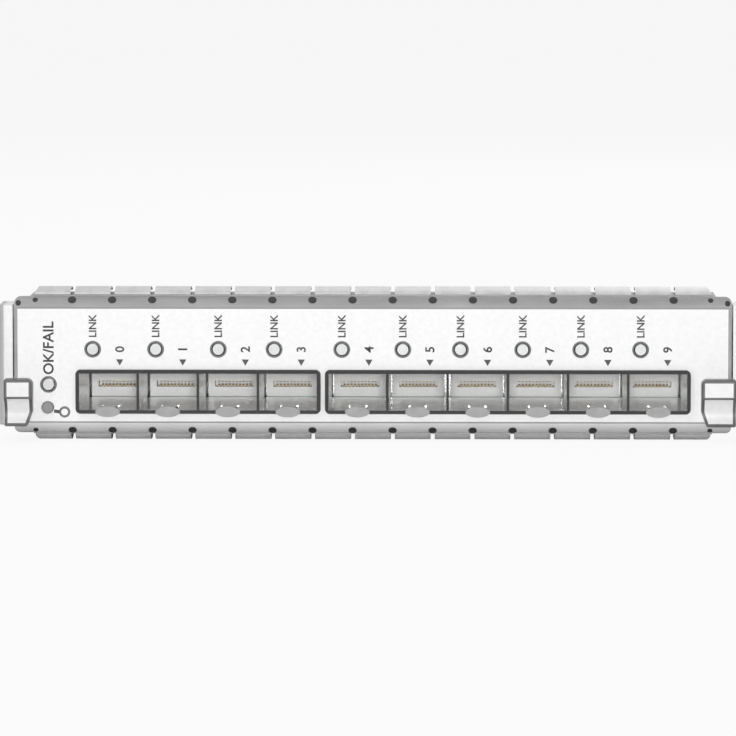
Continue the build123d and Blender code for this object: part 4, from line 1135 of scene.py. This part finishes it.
low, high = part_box("power_capacitors")
CAN_RADIUS = (high.x - low.x) / 2
CAN_TALL = high.z - BOARD_TOP
CAN_PITCH = 8 * MM
can_x, can_y = (low.x + high.x) / 2, low.y + CAN_RADIUS
can_places = [Vector((can_x, can_y + k * CAN_PITCH, BOARD_TOP)) for k in range(4)]
can = turned([
    (0, 0.9 * MM), (CAN_RADIUS * 0.97, 0.9 * MM), (CAN_RADIUS, 1.1 * MM), (CAN_RADIUS, 1.7 * MM),
    (CAN_RADIUS * 0.93, 2.0 * MM), (CAN_RADIUS * 0.93, 2.2 * MM), (CAN_RADIUS, 2.5 * MM),
    (CAN_RADIUS, CAN_TALL - 0.5 * MM), (CAN_RADIUS * 0.94, CAN_TALL - 0.08 * MM),
    (CAN_RADIUS * 0.88, CAN_TALL), (CAN_RADIUS * 0.8, CAN_TALL - 0.12 * MM),
    (0, CAN_TALL - 0.12 * MM),
])
cans = put_copies("capacitor_cans", can, can_places, capacitor_can)
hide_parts("power_capacitors")
for polygon in cans.data.polygons:
    polygon.use_smooth = abs(polygon.normal.z) < 0.9

# %% Capacitor feet and marks
FOOT_WIDTH = 6.4 * MM
FOOT_TALL = 0.9 * MM
foot = add_block(FOOT_WIDTH, FOOT_WIDTH, FOOT_TALL, Matrix.Translation((0, 0, FOOT_TALL / 2)))
corners = [
    edge for edge in foot.edges
    if abs(edge.verts[0].co.z - edge.verts[1].co.z) > FOOT_TALL / 2 and edge.verts[0].co.x > 0
]
bmesh.ops.bevel(foot, geom=corners, offset=1.4 * MM, segments=1, affect="EDGES")
foot_mesh = end_work(foot, bpy.data.meshes.new("foot"), outward=False)
put_copies("capacitor_feet", foot_mesh, can_places, package_black)
mark = bmesh.new()
arc = [math.radians(a) for a in range(-55, 56, 10)]
mark_radius = CAN_RADIUS * 0.78
points = [(mark_radius * math.cos(a), mark_radius * math.sin(a)) for a in arc]
lower = [mark.verts.new((-x, y, CAN_TALL - 0.14 * MM)) for x, y in points]
mark.faces.new(lower)
thicken(mark, 0.05 * MM)
mark_mesh = end_work(mark, bpy.data.meshes.new("mark"), outward=False)
put_copies("capacitor_marks", mark_mesh, can_places, print_ink)

# %% Cooling plate of the module
low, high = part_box("power_module")
middle = (low + high) / 2
rib_sizes = {
    "Count": 15, "Pitch": 3.2 * MM, "Width": 1.1 * MM, "Length": high.y - low.y - 1.6 * MM,
    "Height": 2.4 * MM, "Plate": 1.0 * MM,
}
tree, into = new_tree("ribbed plate", rib_sizes)
rib = box_of(tree, into["Width"], into["Length"], into["Height"], Vertices_Y=3)
ribs, span = row_of(tree, rib, into["Count"], into["Pitch"])
root = do_math("MULTIPLY", into["Plate"], 0.9)
lift = do_math("MULTIPLY_ADD", into["Height"], 0.5, root)
centred = moved(tree, ribs, vector(tree, do_math("MULTIPLY", span, -0.5), 0, lift))
plate_width = do_math("ADD", span, do_math("MULTIPLY", into["Width"], 2.0))
base = box_of(tree, plate_width, into["Length"], into["Plate"])
base = moved(tree, base, vector(tree, z=do_math("MULTIPLY", into["Plate"], 0.5)))
end_tree(tree, joined(tree, centred, base), sink_aluminium)
ribbed = run_tree("module_cooling_plate", point_mesh("ribs", []), tree, rib_sizes)
ribbed.data.transform(Matrix.Translation((middle.x, middle.y, high.z)))

# %% Clips of the inductors
low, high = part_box("power_inductors")
CLIP_TALL = 2.2 * MM
CLIP_PITCH = 10.5 * MM
clip = add_block(0.3 * MM, 3 * MM, CLIP_TALL, Matrix.Translation((0, 0, CLIP_TALL / 2)))
bmesh.ops.bevel(clip, geom=clip.edges[:], offset=0.08 * MM, segments=2, affect="EDGES")
clip_mesh = end_work(clip, bpy.data.meshes.new("clip"), outward=False)
clip_places = [
    Vector((x, low.y + 4 * MM + k * CLIP_PITCH, BOARD_TOP))
    for x in (low.x - 0.1 * MM, high.x + 0.1 * MM) for k in range(3)
]
put_copies("inductor_clips", clip_mesh, clip_places, solder)

# %% [markdown]
# ## Pads and printed frames
# Bare gilded rings surround the board's screws, and round test pads lie between the small
# parts. White printed frames show the fitter where each larger part belongs. Pads repeat,
# so a tree copies them, and the frames differ in size, so each is built from its corners.

# %% Pads
pad_gold = new_metal(
    "pad_gold", (0.5, 0.36, 0.14), (0.66, 0.5, 0.22), 2500, (1, 1, 1), (0.25, 0.4), 1.0
)
PAD_RISE = 0.03 * MM
screw_pad = turned([
    (2.35 * MM, -PAD_RISE), (3.3 * MM, -PAD_RISE), (3.3 * MM, PAD_RISE), (2.35 * MM, PAD_RISE),
    (2.35 * MM, -PAD_RISE),
])
screw_spots = [Vector((x * MM, y * MM, BOARD_TOP)) for x, y in SCREWS]
put_copies("screw_pads", screw_pad, screw_spots, pad_gold)
test_pad = turned([(0, -PAD_RISE), (0.32 * MM, -PAD_RISE), (0.32 * MM, PAD_RISE), (0, PAD_RISE)], 8)
pad_spots = []
for x0, y0, x1, y1 in AREAS:
    for column in range(1, int((x1 - x0) / GRID_X)):
        for line in range(1, int((y1 - y0) / GRID_Y)):
            x, y = x0 + column * GRID_X, y0 + line * GRID_Y
            if dice.random() < 0.3 and is_free(x, y):
                pad_spots.append(Vector((x * MM, y * MM, BOARD_TOP)))
put_copies("test_pads", test_pad, pad_spots, pad_gold)
print(len(pad_spots), "test pads")

# %% Printed frames
white_ink = new_finish("white_ink", (0.75, 0.75, 0.72), 0.6)
lead(white_ink, tone(grain(white_ink, 3000), (0.68, 0.68, 0.65), (0.8, 0.8, 0.77)), "Base Color")
FRAME_LINE = 0.2 * MM
FRAME_RISE = 0.02 * MM


def add_frame(work, low, high):
    """A closed rectangular ring on the board, just inside two opposite corners."""
    rings = []
    for inset in (0, FRAME_LINE):
        for rise in (-FRAME_RISE, FRAME_RISE):
            corners = (
                (low[0] + inset, low[1] + inset), (high[0] - inset, low[1] + inset),
                (high[0] - inset, high[1] - inset), (low[0] + inset, high[1] - inset),
            )
            rings.append([work.verts.new((x, y, BOARD_TOP + rise)) for x, y in corners])
    outer_low, outer_high, inner_low, inner_high = rings
    for first, second in (
        (outer_low, outer_high), (outer_high, inner_high),
        (inner_high, inner_low), (inner_low, outer_low),
    ):
        for k in range(4):
            work.faces.new((first[k - 1], first[k], second[k], second[k - 1]))


work = bmesh.new()
for cx, cy, wide, deep, tall in CHIPS:
    half_wide, half_deep = wide / 2 + 1.0, deep / 2 + 0.5
    first = ((cx - half_wide) * MM, (cy - half_deep) * MM)
    add_frame(work, first, ((cx + half_wide) * MM, (cy + half_deep) * MM))
for place in can_places:
    half = 3.7 * MM
    add_frame(work, (place.x - half, place.y - half), (place.x + half, place.y + half))
for name in ("power_module", "phy_heat_sink_left", "phy_heat_sink_right", "framer_heat_sink"):
    low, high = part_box(name)
    margin = 0.7 * MM
    add_frame(work, (low.x - margin, low.y - margin), (high.x + margin, high.y + margin))
keep_mesh("printed_frames", work, white_ink)

# %% [markdown]
# ## Plugs on the bends
# Under each finger slot a clip is pressed into the bend and holds the strip; its head is
# near black, painted shade for the hole it sits in. A near-black plug sits on the bend at
# each end of the strips, and one more sits low on each upper corner; they are painted shade
# too, for the dark spots there. The axes follow the bend's radius. The clips repeat, so a
# tree copies one turned head.

# %% Plugs
BEND = 2.5 * MM
# Painted shade: near black, standing in for the shade in the holes and at the strip ends.
hole_shade_dark = new_plastic(
    "hole_shade_dark", 0.008, 0.02, 2000, (0.5, 0.7)
)


def bend_spot(x, side, outward):
    """The point of the upper (1) or lower (-1) bend where it faces this way."""
    axis_z = plate_high.z - BEND if side > 0 else plate_low.z + BEND
    return Vector((x, FACE + BEND, axis_z)) + outward * BEND


def turn_to(outward):
    """The turn that brings the Z axis to this direction."""
    return Vector((0, 0, 1)).rotation_difference(outward).to_matrix().to_4x4()


work = bmesh.new()
plugs = [(x, side, 45) for x in (-80, 80) for side in (-1, 1)] + [(-84, 1, 25), (84, 1, 25)]
for x, side, degrees in plugs:
    angle = math.radians(degrees)
    outward = Vector((0, -math.cos(angle), side * math.sin(angle)))
    place = Matrix.Translation(bend_spot(x * MM, side, outward)) @ turn_to(outward)
    bmesh.ops.create_cone(
        work, cap_ends=True, segments=20, radius1=0.72 * MM, radius2=0.55 * MM,
        depth=0.16 * MM, matrix=place,
    )
keep_mesh("bend_plugs", work, hole_shade_dark)

# %% Clip heads in the holes of the bends
head_outline = [
    (0, -0.2 * MM), (0.6 * MM, -0.2 * MM), (0.6 * MM, -0.02 * MM), (1.0 * MM, -0.1 * MM),
    (1.0 * MM, 0.06 * MM), (0.8 * MM, 0.16 * MM), (0, 0.2 * MM),
]
count = finger_sizes["Count"]
clip_xs = [(k - count / 2) * finger_sizes["Pitch"] for k in range(1, count)]
for name, side in (("clip_heads_top", 1), ("clip_heads_bottom", -1)):
    outward = Vector((0, -1, side)).normalized()
    head = turned(head_outline, 16)
    head.transform(turn_to(outward))
    put_copies(name, head, [bend_spot(x, side, outward) for x in clip_xs], hole_shade_dark)

# %% [markdown]
# ## Screw feet under the tray
# The board's standoffs are pressed into the tray from below, which leaves a thin flush foot
# with a ring round it. One turned disc is copied onto the six places.

# %% Standoff feet
disc = turned([
    (0, -0.02 * MM), (1.3 * MM, -0.02 * MM), (1.35 * MM, 0.05 * MM), (1.5 * MM, 0.05 * MM),
    (1.55 * MM, -0.04 * MM), (2.9 * MM, -0.04 * MM), (3.0 * MM, 0.02 * MM), (0, 0.02 * MM),
])
feet = [Vector((x * MM, y * MM, 0)) for x, y in SCREWS]
put_copies("standoff_feet", disc, feet, pin_steel)
